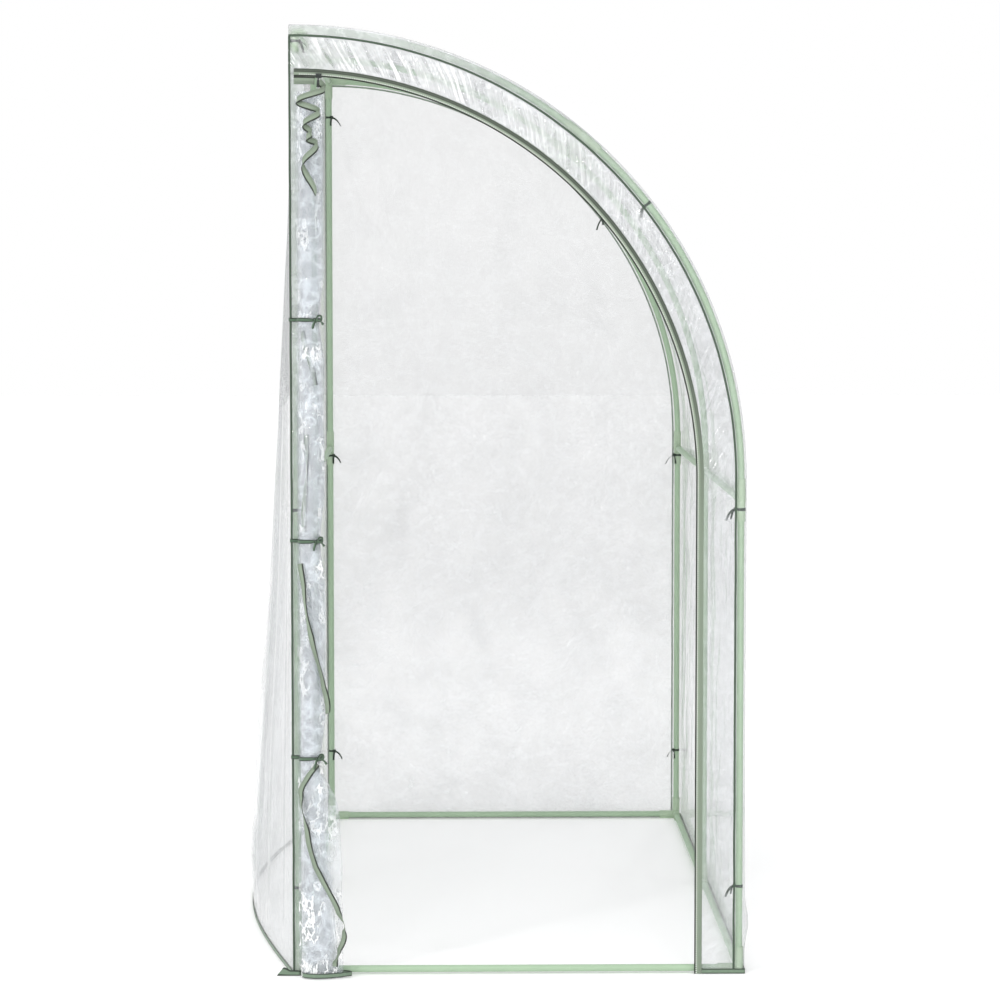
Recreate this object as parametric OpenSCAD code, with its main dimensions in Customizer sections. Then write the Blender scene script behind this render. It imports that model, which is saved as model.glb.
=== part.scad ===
// Lean-to greenhouse: three quarter-arch tube frames joined by rails and plastic connectors,
// under a clear film cover with a zipped door that is gathered and strapped at the wall side.
// X runs from the wall side to the front, Y from the door end to the far end, Z up.
// The origin is on the floor, under the middle of the wall side.

/* [Frame] */
// Length between the tube centres of the end frames
frame_length = 2000; // [1600:10:2600]
// Depth between the tube centres of the posts, which is also the radius of the roof arch
frame_depth = 1000; // [900:10:1200]
// Height of the roof arch's centre above the floor
spring_z = 1127; // [900:1:1400]
// Straight end of each arch tube below the height of the arch's centre
arch_straight = 48; // [40:1:90]
// Angle of the roof purlin round the arch, from the front
purlin_angle = 50; // [40:1:60]

/* [Tubes] */
// Outer diameter of every frame tube
tube_d = 16; // [14:0.5:20]
// Wall of every frame tube
tube_wall = 0.8; // [0.5:0.1:1.5]

/* [Connectors] */
// Length of a connector's arm, from its centre
sleeve_reach = 48; // [35:1:55]
// Wall of a connector's arm
sleeve_wall = 2; // [1.5:0.1:3]
// Radial gap between a tube and its connector
sleeve_gap = 0.2; // [0.1:0.05:0.3]
// Solid half width inside a connector, where the tube ends stop
tube_stop = 12; // [11:0.5:16]
// How far the round hub stands proud of the arms
hub_proud = 0.6; // [0.3:0.1:2]
// Thickness of the flat sole under a base connector
sole_h = 1.8; // [1:0.1:6]
// Width of the flat sole under a base connector
sole_w = 14; // [10:0.5:16]

/* [Cover] */
// Thickness of the cover film
film_t = 1.5; // [1:0.1:2]
// Gap between the film and the connectors
film_gap = 0.3; // [0.2:0.05:1]
// Height of the film's lower edge above the floor
film_floor_gap = 0.5; // [0.3:0.1:5]
// How far the loose wall-side film swells out at the floor, at the middle of its length
swell = 160; // [40:5:200]
// How fast the swelling dies away towards the top
swell_power = 0.8; // [0.6:0.05:1.5]
// Depth from crest to trough of the long folds in which that film hangs
fold_height = 20; // [4:1:28]
// Long folds along the wall-side film
wall_folds = 8; // [5:1:9]
// Width of the green binding along the edges of the end panels
binding_w = 4.5; // [3:0.5:12]
// Distance of that binding inside the line of the tube centres
binding_inset = 10; // [8:0.5:14]
// Height of the green hem at the floor
hem_h = 11; // [8:0.5:20]
// Thickness of the binding and the hem
binding_t = 1.2; // [0.8:0.1:1.5]

/* [Doorway] */
// Distance of the doorway's arch and front edge inside the line of the tube centres
door_inset = 94; // [80:1:220]
// Distance of the doorway's hinge side from the tube centres of the wall side
hinge_x = 24; // [22:0.5:30]
// Width of the zip tape
tape_w = 17; // [12:0.5:24]
// How much of the zip tape overhangs the doorway
tape_overhang = 8; // [7:0.5:10]
// Thickness of the zip tape
tape_t = 1.2; // [0.8:0.1:1.5]
// Width of the row of zip teeth
teeth_w = 3; // [2:0.25:4]
// Height of the zip teeth over the tape
teeth_h = 0.8; // [0.5:0.1:1.2]
// Angle round the arch at which the zip slider is parked
slider_angle = 86.5; // [80:0.5:87]
// Length of the zip slider along the tape
slider_l = 14; // [10:0.5:18]
// Thickness of the slider's plates
slider_plate = 1.2; // [1:0.1:2]
// Running gap all round inside the zip slider
slider_gap = 0.3; // [0.2:0.05:0.5]
// Length of the pull tab
pull_l = 26; // [18:1:32]
// Width of the pull tab
pull_w = 6; // [4:0.5:8]

/* [Gathered door] */
// Gap between the bundle of door film and the pull tab above it
bundle_drop = 10; // [5:1:60]
// Half width of the bundle between its straps
bundle_rx = 32; // [29:1:42]
// How much wider the half width gets at the floor
flare = 18; // [0:1:24]
// Height above the floor at which the bundle starts to flare
flare_z = 480; // [200:5:480]
// Half thickness of the bundle between its straps
bundle_ry = 21; // [16:1:26]
// Half width of the bundle at a strap
waist_rx = 26; // [20:1:28]
// Half thickness of the bundle at a strap
waist_ry = 14; // [10:1:15]
// Depth of the bundle's folds, as a share of its half width
fold_depth = 0.13; // [0.05:0.01:0.18]
// Number of folds round the bundle
folds = 7; // [5:1:9]
// Width of the straps round the bundle
strap_w = 16; // [10:1:24]
// Thickness of the straps
strap_t = 1; // [0.8:0.1:1.5]
// Height of the lowest strap above the floor
low_strap_z = 500; // [300:5:700]
// Height of the middle strap above the floor
mid_strap_z = 990; // [850:5:1100]
// Height of the highest strap above the floor
top_strap_z = 1485; // [1300:5:1600]

/* [Ties] */
// Width of the ribbon of a tie
tie_w = 6; // [4:0.5:8]
// Thickness of the ribbon of a tie
tie_t = 0.5; // [0.4:0.05:0.6]
// Gap between a tie and the tube in it
tie_gap = 0.2; // [0.15:0.05:0.3]
// Length of a tie's loose tails
tail_l = 30; // [12:1:45]
// Height of the lowest ties above the floor
low_tie_z = 200; // [80:5:500]
// Drop of the middle ties below the middle connectors' centres
mid_tie_drop = 21; // [18:1:30]
// Drop of the highest wall-side tie below the ridge
top_tie_drop = 24; // [18:1:30]
// Angle round the arch of the tie on each end arch
arch_tie_angle = 38; // [25:1:44]

/* [Hidden] */
$fn = 96;
part_green = [0.66, 0.77, 0.64];
connector_green = [0.70, 0.80, 0.66];
film_clear = [0.90, 0.93, 0.94, 0.45];
binding_green = [0.27, 0.38, 0.29];
zip_green = [0.36, 0.47, 0.36];
slider_dark = [0.12, 0.15, 0.13];

// The tube's radius, the connectors' radii and the height of the base tubes
tube_r = tube_d / 2;
bore_r = tube_r + sleeve_gap;
sleeve_r = bore_r + sleeve_wall;
hub_r = sleeve_r + hub_proud;
base_z = sleeve_r + sole_h;

// Heights of the middle connectors and of the ridge
mid_z = spring_z - arch_straight;
ridge_z = spring_z + frame_depth;

// The frames from the door end to the far end, and the directions of the rails that leave each
frame_y = [-frame_length / 2, 0, frame_length / 2];
rail_ways = [[1], [-1, 1], [-1]];

// Where the purlin runs
purlin_x = frame_depth * cos(purlin_angle);
purlin_z = spring_z + frame_depth * sin(purlin_angle);

// Arc angles of the tube stops and sleeve ends on the arch
deg_per_mm = 180 / (PI * frame_depth);
stop_angle = tube_stop * deg_per_mm;
reach_angle = sleeve_reach * deg_per_mm;

// Distances of the film's two faces from the tube centres
film_in = hub_r + film_gap;
film_out = film_in + film_t;
end_in = frame_length / 2 + film_in;
end_out = frame_length / 2 + film_out;
film_top = ridge_z + film_in;

// The doorway's radius, the zip tape's edges, its teeth and the levels of its faces outside the door end
door_r = frame_depth - door_inset;
tape_r0 = door_r - tape_overhang;
tape_r1 = tape_r0 + tape_w;
teeth_inset = 3;
teeth_r0 = tape_r0 + teeth_inset;
zip_face = end_out + tape_t + teeth_h;

// Slider: its radial edges, its front face and the level of the pull's hinge
bridge_r0 = tape_r0 - slider_gap - 2 * slider_plate;
slider_front = zip_face + slider_gap + slider_plate;
bail_r = 0.8;
bail_lift = 2.2;
bail_end = 2;
bail_half = slider_l / 2 - bail_end;
pull_gap = 0.2;
pull_t = 1;
pull_wide_l = pull_l * 0.6;
eye_wall = 0.9;
eye_r = bail_r + pull_gap + eye_wall;
eye_w = 4;
slider_mid_r = (bridge_r0 + door_r) / 2;

// The bundle of door film: its straps, its clearances, its hinge side, its ends and its rings
strap_z = [low_strap_z, mid_strap_z, top_strap_z];
strap_gap = 0.4;
bundle_gap = 2 * strap_gap + strap_t;
seam_x = 6;
bundle_z0 = film_floor_gap + 1;
bundle_z1 = spring_z + slider_mid_r * sin(slider_angle) - pull_l - bundle_drop;
bundle_steps = 7;
bundle_sides = 38;
waist_span = 90;
waist_margin = 2;
waist_half = strap_w / 2 + waist_margin;

// The loose tape on the bundle: its widths, its gap to the film, and how finely it follows the bundle
zigzag_w = tape_w * 0.6;
zigzag_drop = 240;
trail_w = tape_w / 2;
trail_gap = 0.6;
trail_steps = 5;
mm_per_deg = bundle_rx * PI / 180;

// A tie's knot, how far it sits off the ribbon, and the directions of its knot and tails
knot_r = tie_w * 0.55;
knot_off = knot_r * 0.7;
knot_turn = 45;
tail_w = tie_w * 0.6;
tail_drop = 50;
tail_split = 15;

// The wall-side film's grid above its hem
swell_cols = 36;
swell_rows = 14;

// The film's folds start above the hem, and are full at this swell and this much higher up
fold_z = film_floor_gap + hem_h + 4;
fold_swell = 60;
fold_rise = 110;

// A small overlap for cuts that run past a face
past = 1;

// Turns +Z to a direction along one of the axes
module toward(d) {
    rotate(d.z == 0 ? [-90 * d.y, 90 * d.x, 0] : [d.z > 0 ? 0 : 180, 0, 0]) children();
}

// A length of tube from one point, along a direction
module tube(start, d, length) {
    color(part_green)
    translate(start) toward(d)
    difference() {
        cylinder(h = length, r = tube_r);
        translate([0, 0, -past]) cylinder(h = length + 2 * past, r = tube_r - tube_wall);
    }
}

// A round bar along the roof arch of one frame, from one angle to another
module arc_bar(y, a0, a1, r) {
    translate([0, y, spring_z]) rotate([90, 0, 0]) rotate([0, 0, a0])
    rotate_extrude(angle = a1 - a0, $fn = 360) translate([frame_depth, 0]) circle(r = r, $fn = 48);
}

// A connector: round hub, straight arms, an optional arm along the arch and flat soles
module connector(at, arms, arc = [], soles = []) {
    color(connector_green)
    difference() {
        union() {
            translate(at) sphere(r = hub_r);
            for (d = arms) translate(at) toward(d) cylinder(h = sleeve_reach, r = sleeve_r);
            for (a = arc) arc_bar(at.y, min(a[0], a[1]), max(a[0], a[1]), sleeve_r);
            for (d = soles) sole(at, d);
        }
        for (d = arms)
            translate(at) toward(d) translate([0, 0, tube_stop]) cylinder(h = sleeve_reach, r = bore_r);
        for (a = arc)
            arc_bore(at.y, a[0], a[1] > a[0] ? 1 : -1);
    }
}

// The bore of an arm along the arch that leaves its connector one way
module arc_bore(y, a, way) {
    near = a + way * stop_angle;
    end = a + way * (reach_angle + 2 * deg_per_mm);
    arc_bar(y, min(near, end), max(near, end), bore_r);
}

// The flat sole under one arm of a base connector
module sole(at, d) {
    half = sole_w / 2;
    size = [d.x == 0 ? sole_w : sleeve_reach + half, d.y == 0 ? sole_w : sleeve_reach + half, at.z];
    translate([at.x - (d.x < 0 ? sleeve_reach : half), at.y - (d.y < 0 ? sleeve_reach : half), 0])
    cube(size);
}

// Frame tubes, for the frame at index i
module back_post_lower(i) {
    tube([0, frame_y[i], base_z + tube_stop], [0, 0, 1], mid_z - base_z - 2 * tube_stop);
}

module back_post_upper(i) {
    tube([0, frame_y[i], mid_z + tube_stop], [0, 0, 1], ridge_z - mid_z - 2 * tube_stop);
}

module front_post(i) {
    tube([frame_depth, frame_y[i], base_z + tube_stop], [0, 0, 1], mid_z - base_z - 2 * tube_stop);
}

module arch_lower(i) {
    end = purlin_angle - stop_angle;
    color(part_green)
    difference() {
        union() {
            translate([frame_depth, frame_y[i], mid_z + tube_stop])
            cylinder(h = arch_straight - tube_stop, r = tube_r);
            arc_bar(frame_y[i], 0, end, tube_r);
        }
        translate([frame_depth, frame_y[i], mid_z + tube_stop - past])
        cylinder(h = arch_straight - tube_stop + past, r = tube_r - tube_wall);
        arc_bar(frame_y[i], 0, end + deg_per_mm, tube_r - tube_wall);
    }
}

module arch_upper(i) {
    start = purlin_angle + stop_angle;
    end = 90 - stop_angle;
    color(part_green)
    difference() {
        arc_bar(frame_y[i], start, end, tube_r);
        arc_bar(frame_y[i], start - deg_per_mm, end + deg_per_mm, tube_r - tube_wall);
    }
}

// Rails along the length in bay b, where bay 0 is at the door end
module rail(b, x, z) {
    tube([x, frame_y[b] + tube_stop, z], [0, 1, 0], frame_length / 2 - 2 * tube_stop);
}

// The bar across the floor of an end frame
module base_bar(i) {
    tube([tube_stop, frame_y[i], base_z], [1, 0, 0], frame_depth - 2 * tube_stop);
}

// Connectors, for the frame at index i
function along_y(i) = [for (w = rail_ways[i]) [0, w, 0]];
function across(i, way) = i == 1 ? [] : [[way, 0, 0]];

module base_connector(i, x, way) {
    level = concat(along_y(i), across(i, way));
    connector([x, frame_y[i], base_z], concat(level, [[0, 0, 1]]), soles = level);
}

module mid_connector(i, x) {
    connector([x, frame_y[i], mid_z], concat(along_y(i), [[0, 0, 1], [0, 0, -1]]));
}

module purlin_connector(i) {
    connector([purlin_x, frame_y[i], purlin_z], along_y(i),
              arc = [[purlin_angle, purlin_angle + reach_angle], [purlin_angle, purlin_angle - reach_angle]]);
}

module ridge_connector(i) {
    connector([0, frame_y[i], ridge_z], concat(along_y(i), [[0, 0, -1]]), arc = [[90, 90 - reach_angle]]);
}

// The area under an arch of radius r and its upright front edge, from x0 and z0 on
module arch_area(r, x0, z0) {
    translate([x0, z0]) square([r - x0, spring_z - z0]);
    translate([0, spring_z])
    intersection() {
        circle(r = r, $fn = 360);
        translate([max(x0, 0), 0]) square([r + past, r + past]);
    }
    if (x0 < 0) translate([x0, spring_z]) square([-x0, r]);
}

// The band between two such areas
module arch_band(r0, r1, x0) {
    difference() {
        arch_area(r1, x0, film_floor_gap);
        arch_area(r0, x0 - past, film_floor_gap - past);
    }
}

// A flat outline stood upright across the length, from level y towards the door end
module upright(y, t) {
    translate([0, y, 0]) rotate([90, 0, 0]) linear_extrude(t) children();
}

// Film that covers the front and the roof
module cover_roof() {
    color(film_clear)
    upright(end_in, 2 * end_in)
    difference() {
        arch_area(frame_depth + film_out, -film_out, film_floor_gap);
        arch_area(frame_depth + film_in, -film_out - past, film_floor_gap - past);
    }
}

// How far the wall-side film stands out at a place along the length and a height
function swell_at(y, z) = swell * cos(90 * y / end_in) * pow(max(0, 1 - z / film_top), swell_power);

// How far the long folds push the wall-side film out there
function fold_at(y, z) =
    let (loose = min(1, swell_at(y, z) / fold_swell) * min(1, max(0, z - fold_z) / fold_rise))
    fold_height / 2 * loose * sin(180 * wall_folds * (y / end_in + 1));

// One point at column k of the wall-side film at height z, on the face that is that far from the tubes
function swell_point(k, z, face) =
    let (y = end_in * (2 * k / swell_cols - 1))
    [-face - swell_at(y, z) - fold_at(y, z), y, z];

// Two rows of points, one on each face, that follow the wall-side film at height z
function swell_ring(z, near_face, far_face) = concat(
    [for (k = [0 : swell_cols]) swell_point(k, z, near_face)],
    [for (k = [swell_cols : -1 : 0]) swell_point(k, z, far_face)]);

// A solid through a stack of rings, each of two matching rows of points, closed by a strip at each end
module ribbon(rings) {
    n = len(rings[0]);
    last = len(rings) - 1;
    half = n / 2;
    sides = [for (i = [0 : last - 1]) for (j = [0 : n - 1])
        let (a = i * n + j, b = i * n + (j + 1) % n)
        each [[a, a + n, b], [b, a + n, b + n]]];
    strip = [for (j = [0 : half - 2]) each [[j, j + 1, n - 2 - j], [j, n - 2 - j, n - 1 - j]]];
    cap = [for (t = strip) [for (v = t) v + last * n]];
    flipped = [for (t = cap) [t[2], t[1], t[0]]];
    polyhedron([for (r = rings) each r], concat(sides, strip, flipped));
}

// Film on the wall side, which hangs loose in long folds and swells out towards the floor
module cover_back() {
    heights = [film_floor_gap, for (k = [0 : swell_rows]) fold_z + (film_top - fold_z) * k / swell_rows];
    color(film_clear)
    ribbon([for (z = heights) swell_ring(z, film_in, film_out)]);
}

// Film over the far end
module cover_far_end() {
    color(film_clear)
    upright(end_out, film_t) arch_area(frame_depth + film_out, -film_out, film_floor_gap);
}

// Film round the doorway, with the strip that the door is sewn to
module door_surround() {
    color(film_clear)
    upright(-end_in, film_t) {
        arch_band(door_r, frame_depth + film_out, -film_out);
        translate([-film_out, film_floor_gap])
        square([film_out + hinge_x, spring_z + door_r + film_t - film_floor_gap]);
    }
}

// Green binding on the edges of both end panels
module edge_binding() {
    color(binding_green)
    for (y = [-end_out, end_out + binding_t])
        upright(y, binding_t) {
            arch_band(frame_depth - binding_inset - binding_w, frame_depth - binding_inset, -film_out);
            translate([-film_out, film_floor_gap])
            square([binding_w, ridge_z - binding_inset - film_floor_gap]);
        }
}

// Green hem along the lower edge of the cover, clear of the doorway
module floor_hem() {
    color(binding_green) {
        upright(-end_out - binding_t, binding_t)
        translate([tape_r1, film_floor_gap]) square([frame_depth + film_out - tape_r1, hem_h]);
        upright(end_out + 2 * binding_t, binding_t)
        translate([-film_out, film_floor_gap]) square([frame_depth + 2 * film_out, hem_h]);
        translate([frame_depth + film_out, -end_in, film_floor_gap]) cube([binding_t, 2 * end_in, hem_h]);
        ribbon([for (z = [film_floor_gap, film_floor_gap + hem_h])
            swell_ring(z, film_out + strap_gap, film_out + strap_gap + binding_t)]);
    }
}

// The zip's fixed tape round the doorway, and the short stretch that stays zipped behind the slider
module zip_tape() {
    closed_x1 = tape_r0 * cos(slider_angle) - slider_l / 2 - 1;
    color(zip_green) {
        upright(-end_out, tape_t) arch_band(tape_r0, tape_r1, 0);
        upright(-end_out - tape_t, teeth_h) arch_band(teeth_r0, teeth_r0 + teeth_w, 0);
        upright(-end_out, tape_t)
        intersection() {
            arch_band(tape_r0 - tape_w, tape_r0, 0);
            translate([0, spring_z]) square([closed_x1, frame_depth]);
        }
    }
}

// Places what is drawn at radius zero, with X outwards and Z along the arch, at the slider's angle
module at_slider() {
    translate([0, 0, spring_z]) rotate([0, -slider_angle, 0]) children();
}

// Zip slider: a front plate, a back plate, the bridge that joins them and the bail for the pull
module zip_slider() {
    half = slider_l / 2;
    color(slider_dark)
    at_slider() {
        difference() {
            translate([bridge_r0, -slider_front, -half])
            cube([door_r - slider_gap - bridge_r0, slider_front - end_in + slider_gap, slider_l]);
            translate([tape_r0 - slider_gap, -zip_face - slider_gap, -half - past])
            cube([tape_w, zip_face - end_out + 2 * slider_gap, slider_l + 2 * past]);
        }
        for (s = [-1, 1])
            translate([slider_mid_r - bail_r, -slider_front - bail_lift - bail_r, s * bail_half - bail_r])
            cube([2 * bail_r, bail_lift + bail_r + slider_plate / 2, 2 * bail_r]);
        translate([slider_mid_r, -slider_front - bail_lift, -bail_half])
        cylinder(h = 2 * bail_half, r = bail_r);
    }
}

// Pull tab that hangs from the slider's bail
module zip_pull() {
    color(slider_dark)
    at_slider()
    translate([slider_mid_r, -slider_front - bail_lift, 0])
    difference() {
        union() {
            translate([0, 0, -eye_w / 2]) cylinder(h = eye_w, r = eye_r);
            translate([-pull_l, -pull_t / 2, -eye_w / 2]) cube([pull_l, pull_t, eye_w]);
            translate([-pull_l, -pull_t / 2, -pull_w / 2]) cube([pull_wide_l, pull_t, pull_w]);
        }
        translate([0, 0, -eye_w]) cylinder(h = 2 * eye_w, r = bail_r + pull_gap);
    }
}

// How full the bundle is at height z: 0 at a strap and 1 well away from the straps
function fullness(z) =
    let (d = min([for (s = strap_z) max(0, abs(z - s) - waist_half)]), t = min(1, d / waist_span))
    t * t * (3 - 2 * t);

// The bundle's half width and half thickness at height z, where it is full by f
function bundle_half(f, z) =
    let (rx = bundle_rx + flare * pow(max(0, 1 - z / flare_z), 2))
    [waist_rx + (rx - waist_rx) * f, waist_ry + (bundle_ry - waist_ry) * f];

// The bundle's middle at height z, which keeps its back and its hinge side in line
function bundle_mid(f, z) = let (h = bundle_half(f, z)) [seam_x + h.x, -(end_out + bundle_gap + h.y), z];

// One folded ring of the bundle, with the folds turning slowly on the way up
function bundle_ring(z) =
    let (f = fullness(z), m = bundle_mid(f, z), h = bundle_half(f, z), depth = fold_depth * (0.5 + 0.5 * f))
    [for (j = [0 : bundle_sides - 1])
        let (a = 360 * j / bundle_sides, r = 1 - depth * (0.5 + 0.5 * sin(folds * a + z / 8)))
        [m.x + h.x * r * cos(a), m.y + h.y * r * sin(a), z]];

// A solid through a stack of round rings, closed by a fan about a middle point at each end
module loft(rings, mids) {
    n = len(rings[0]);
    last = len(rings) - 1;
    low = n * (last + 1);
    sides = [for (i = [0 : last - 1]) for (j = [0 : n - 1])
        let (a = i * n + j, b = i * n + (j + 1) % n)
        each [[a, a + n, b], [b, a + n, b + n]]];
    caps = [for (j = [0 : n - 1]) let (k = (j + 1) % n)
        each [[j, k, low], [last * n + k, last * n + j, low + 1]]];
    polyhedron(concat([for (r = rings) each r], mids), concat(sides, caps));
}

// Heights of the bundle's rings: each stretch between two straps is divided more finely near the straps
function bundle_heights() =
    let (lows = concat([bundle_z0], [for (s = strap_z) s + waist_half]),
         highs = concat([for (s = strap_z) s - waist_half], [bundle_z1]))
    [for (i = [0 : len(lows) - 1]) for (k = [0 : bundle_steps])
        lows[i] + (highs[i] - lows[i]) * (1 - cos(180 * k / bundle_steps)) / 2];

// Door film, gathered into a folded bundle beside the wall-side post
module door_film() {
    color(film_clear)
    loft([for (z = bundle_heights()) bundle_ring(z)],
         [bundle_mid(fullness(bundle_z0), bundle_z0), bundle_mid(fullness(bundle_z1), bundle_z1)]);
}

// Loose zip tape in zigzags over the bundle: across, as a share of the bundle's half width from its
// middle, and down from the bundle's top, as a share of the zigzag's whole drop
zigzag = [[0.9, 0.02], [-0.9, 0.1], [0.65, 0.2], [-0.45, 0.3],
          [-0.1, 0.4], [0.5, 0.48], [-0.55, 0.67], [0.3, 0.96]];
// Zip tape along the bundle between the middle and lowest straps, and between the lowest strap and
// the floor: angle round the bundle, and height as a share of that stretch
long_trail = [[-138, 0.9], [-113, 0.67], [-85, 0.51], [-42, 0.32], [-22, 0.21]];
low_trail = [[-110, 0.86], [-146, 0.78], [-70, 0.52], [-28, 0.34], [-18, 0.23], [-28, 0.12], [-50, 0.05]];
// The door's hem, round the front of the bundle at the floor
hem_trail = [for (a = [-170 : 10 : -10]) [a, 0.5]];

// The zigzag tape, which runs straight from point to point in front of the bundle, each stretch a
// little past the points at its ends
module zigzag_tape() {
    more = zigzag_w / 4;
    mid_x = seam_x + bundle_rx;
    upright(-(end_out + bundle_gap + 2 * bundle_ry + strap_gap), tape_t)
    for (k = [0 : len(zigzag) - 2]) {
        a = [mid_x + bundle_rx * zigzag[k][0], bundle_z1 - zigzag_drop * zigzag[k][1]];
        b = [mid_x + bundle_rx * zigzag[k + 1][0], bundle_z1 - zigzag_drop * zigzag[k + 1][1]];
        translate(a) rotate(atan2(b.y - a.y, b.x - a.x))
        translate([-more, -zigzag_w / 2]) square([norm(b - a) + 2 * more, zigzag_w]);
    }
}

// A point at angle a and height z that lies a little off the bundle's surface
function on_bundle(a, z, lift, table) =
    let (f = lookup(z, table), m = bundle_mid(f, z), h = bundle_half(f, z))
    [m.x + (h.x + lift) * cos(a), m.y + (h.y + lift) * sin(a), z];

// A tape of the given width that follows the bundle's surface along a trail of angles and of shares
// of the height from z0 to z1
module trail(points, z0, z1, width) {
    table = [for (z = bundle_heights()) [z, fullness(z)]];
    last = len(points) - 1;
    corners = [for (p = points) [p[0], z0 + (z1 - z0) * p[1]]];
    path = [for (k = [0 : last * trail_steps])
        let (i = min(last - 1, floor(k / trail_steps)), t = k / trail_steps - i)
        corners[i] + t * (corners[i + 1] - corners[i])];
    ribbon([for (k = [0 : len(path) - 1])
        let (d = path[min(len(path) - 1, k + 1)] - path[max(0, k - 1)],
             run = norm([d[0] * mm_per_deg, d[1]]),
             side = width / 2 / run * [-d[1] / mm_per_deg, d[0] * mm_per_deg],
             p = path[k] - side, q = path[k] + side)
        [on_bundle(p[0], p[1], trail_gap, table), on_bundle(q[0], q[1], trail_gap, table),
         on_bundle(q[0], q[1], trail_gap + tape_t, table), on_bundle(p[0], p[1], trail_gap + tape_t, table)]]);
}

// The door's half of the zip tape and the door's hem
module door_binding() {
    color(zip_green) {
        zigzag_tape();
        trail(long_trail, low_strap_z, mid_strap_z, trail_w);
        trail(low_trail, 0, low_strap_z, trail_w);
        trail(hem_trail, bundle_z0, bundle_z0 + hem_h, hem_h);
    }
}

// Straps round the waists of the bundle
module door_straps() {
    color(binding_green)
    for (z = strap_z) {
        rx = waist_rx + strap_gap;
        ry = waist_ry + strap_gap;
        m = bundle_mid(0, z);
        translate([m.x, m.y, z - strap_w / 2])
        difference() {
            strap_outline(rx + strap_t, ry + strap_t, strap_w, 0);
            strap_outline(rx, ry, strap_w, past);
        }
    }
}

// A bar with round ends, rx and ry in half width and half thickness
module strap_outline(rx, ry, h, more) {
    translate([0, 0, -more])
    linear_extrude(h + 2 * more) {
        for (s = [-1, 1]) translate([s * (rx - ry), 0]) circle(r = ry);
        square([2 * (rx - ry), 2 * ry], center = true);
    }
}

// A ribbon tied round a tube of radius r that runs along Z, with its knot and two tails on the side of +X
module tie(r) {
    inner = r + tie_gap;
    outer = inner + tie_t;
    difference() {
        union() {
            translate([0, 0, -tie_w / 2]) cylinder(h = tie_w, r = outer);
            translate([outer + knot_off, 0, 0]) {
                sphere(r = knot_r);
                for (s = [-1, 1])
                    rotate([0, tail_drop + tail_split * s, tail_drop * s])
                    translate([0, -tie_t, -tail_w / 2]) cube([tail_l, 2 * tie_t, tail_w]);
            }
        }
        translate([0, 0, -tie_w]) cylinder(h = 2 * tie_w, r = inner);
    }
}

// Ties that hold the cover to both end frames, with their knots on the inside
module cover_ties() {
    color(binding_green)
    for (e = [[frame_y[0], 1], [frame_y[2], -1]]) {
        for (p = [[low_tie_z, tube_r], [mid_z - mid_tie_drop, sleeve_r]]) {
            translate([0, e[0], p[0]]) rotate([0, 0, e[1] * knot_turn]) tie(p[1]);
            translate([frame_depth, e[0], p[0]]) rotate([0, 0, e[1] * (180 - knot_turn)]) tie(p[1]);
        }
        translate([0, e[0], ridge_z - top_tie_drop]) rotate([0, 0, e[1] * knot_turn]) tie(sleeve_r);
        translate([frame_depth * cos(arch_tie_angle), e[0], spring_z + frame_depth * sin(arch_tie_angle)])
        rotate([0, -arch_tie_angle, 0]) rotate([0, 0, e[1] * (180 - knot_turn)]) tie(tube_r);
    }
}

for (i = [0 : 2]) {
    f = ["near", "mid", "far"][i];
    back_post_lower(i);
    back_post_upper(i);
    front_post(i);
    arch_lower(i);
    arch_upper(i);
    mid_connector(i, 0);
    mid_connector(i, frame_depth);
    purlin_connector(i);
    ridge_connector(i);
    base_connector(i, 0, 1);
    base_connector(i, frame_depth, -1);
}
for (b = [0, 1]) {
    n = ["near", "far"][b];
    rail(b, 0, base_z);
    rail(b, frame_depth, base_z);
    rail(b, 0, mid_z);
    rail(b, frame_depth, mid_z);
    rail(b, purlin_x, purlin_z);
    rail(b, 0, ridge_z);
}
base_bar(0);  // near_base_bar
base_bar(2);  // far_base_bar
cover_roof();
cover_back();
cover_far_end();
door_surround();
edge_binding();
floor_hem();
cover_ties();
zip_tape();
zip_slider();
zip_pull();
door_film();
door_binding();
door_straps();
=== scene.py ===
"""Dresses the lean-to greenhouse's CAD frame: film cover, bindings, zip, ties, gathered door and finishes.

Metres throughout. X runs from the wall side to the front, Y from the door end to the far end, Z up.
"""

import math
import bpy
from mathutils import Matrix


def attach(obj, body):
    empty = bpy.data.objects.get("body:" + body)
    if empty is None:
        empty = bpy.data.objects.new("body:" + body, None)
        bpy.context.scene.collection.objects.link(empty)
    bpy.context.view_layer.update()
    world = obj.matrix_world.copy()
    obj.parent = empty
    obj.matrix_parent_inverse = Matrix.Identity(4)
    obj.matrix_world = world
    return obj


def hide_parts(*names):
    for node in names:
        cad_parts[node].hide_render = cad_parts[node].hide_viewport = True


bl_info = {
    "name": "Lean-to greenhouse",
    "version": (1, 0, 0),
    "blender": (4, 5, 0),
    "location": "View3D > Sidebar > Greenhouse",
    "description": "Dresses a lean-to greenhouse frame in film, bindings, zip, ties and finishes",
    "category": "Add Mesh",
}

import bmesh
import bpy
from bpy.props import FloatProperty, FloatVectorProperty, IntProperty, PointerProperty
from mathutils import Matrix, Vector, noise

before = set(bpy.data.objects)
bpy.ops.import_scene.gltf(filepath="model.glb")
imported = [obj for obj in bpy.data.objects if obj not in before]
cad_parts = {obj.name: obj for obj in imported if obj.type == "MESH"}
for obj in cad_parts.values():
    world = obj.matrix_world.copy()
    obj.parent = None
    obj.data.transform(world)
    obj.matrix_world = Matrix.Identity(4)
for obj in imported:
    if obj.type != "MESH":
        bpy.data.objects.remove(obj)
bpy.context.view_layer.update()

# Without a seed noise_vector starts from the clock, and the creases would change from run to run
noise.seed_set(7)

UP = Vector((0, 0, 1))

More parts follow.
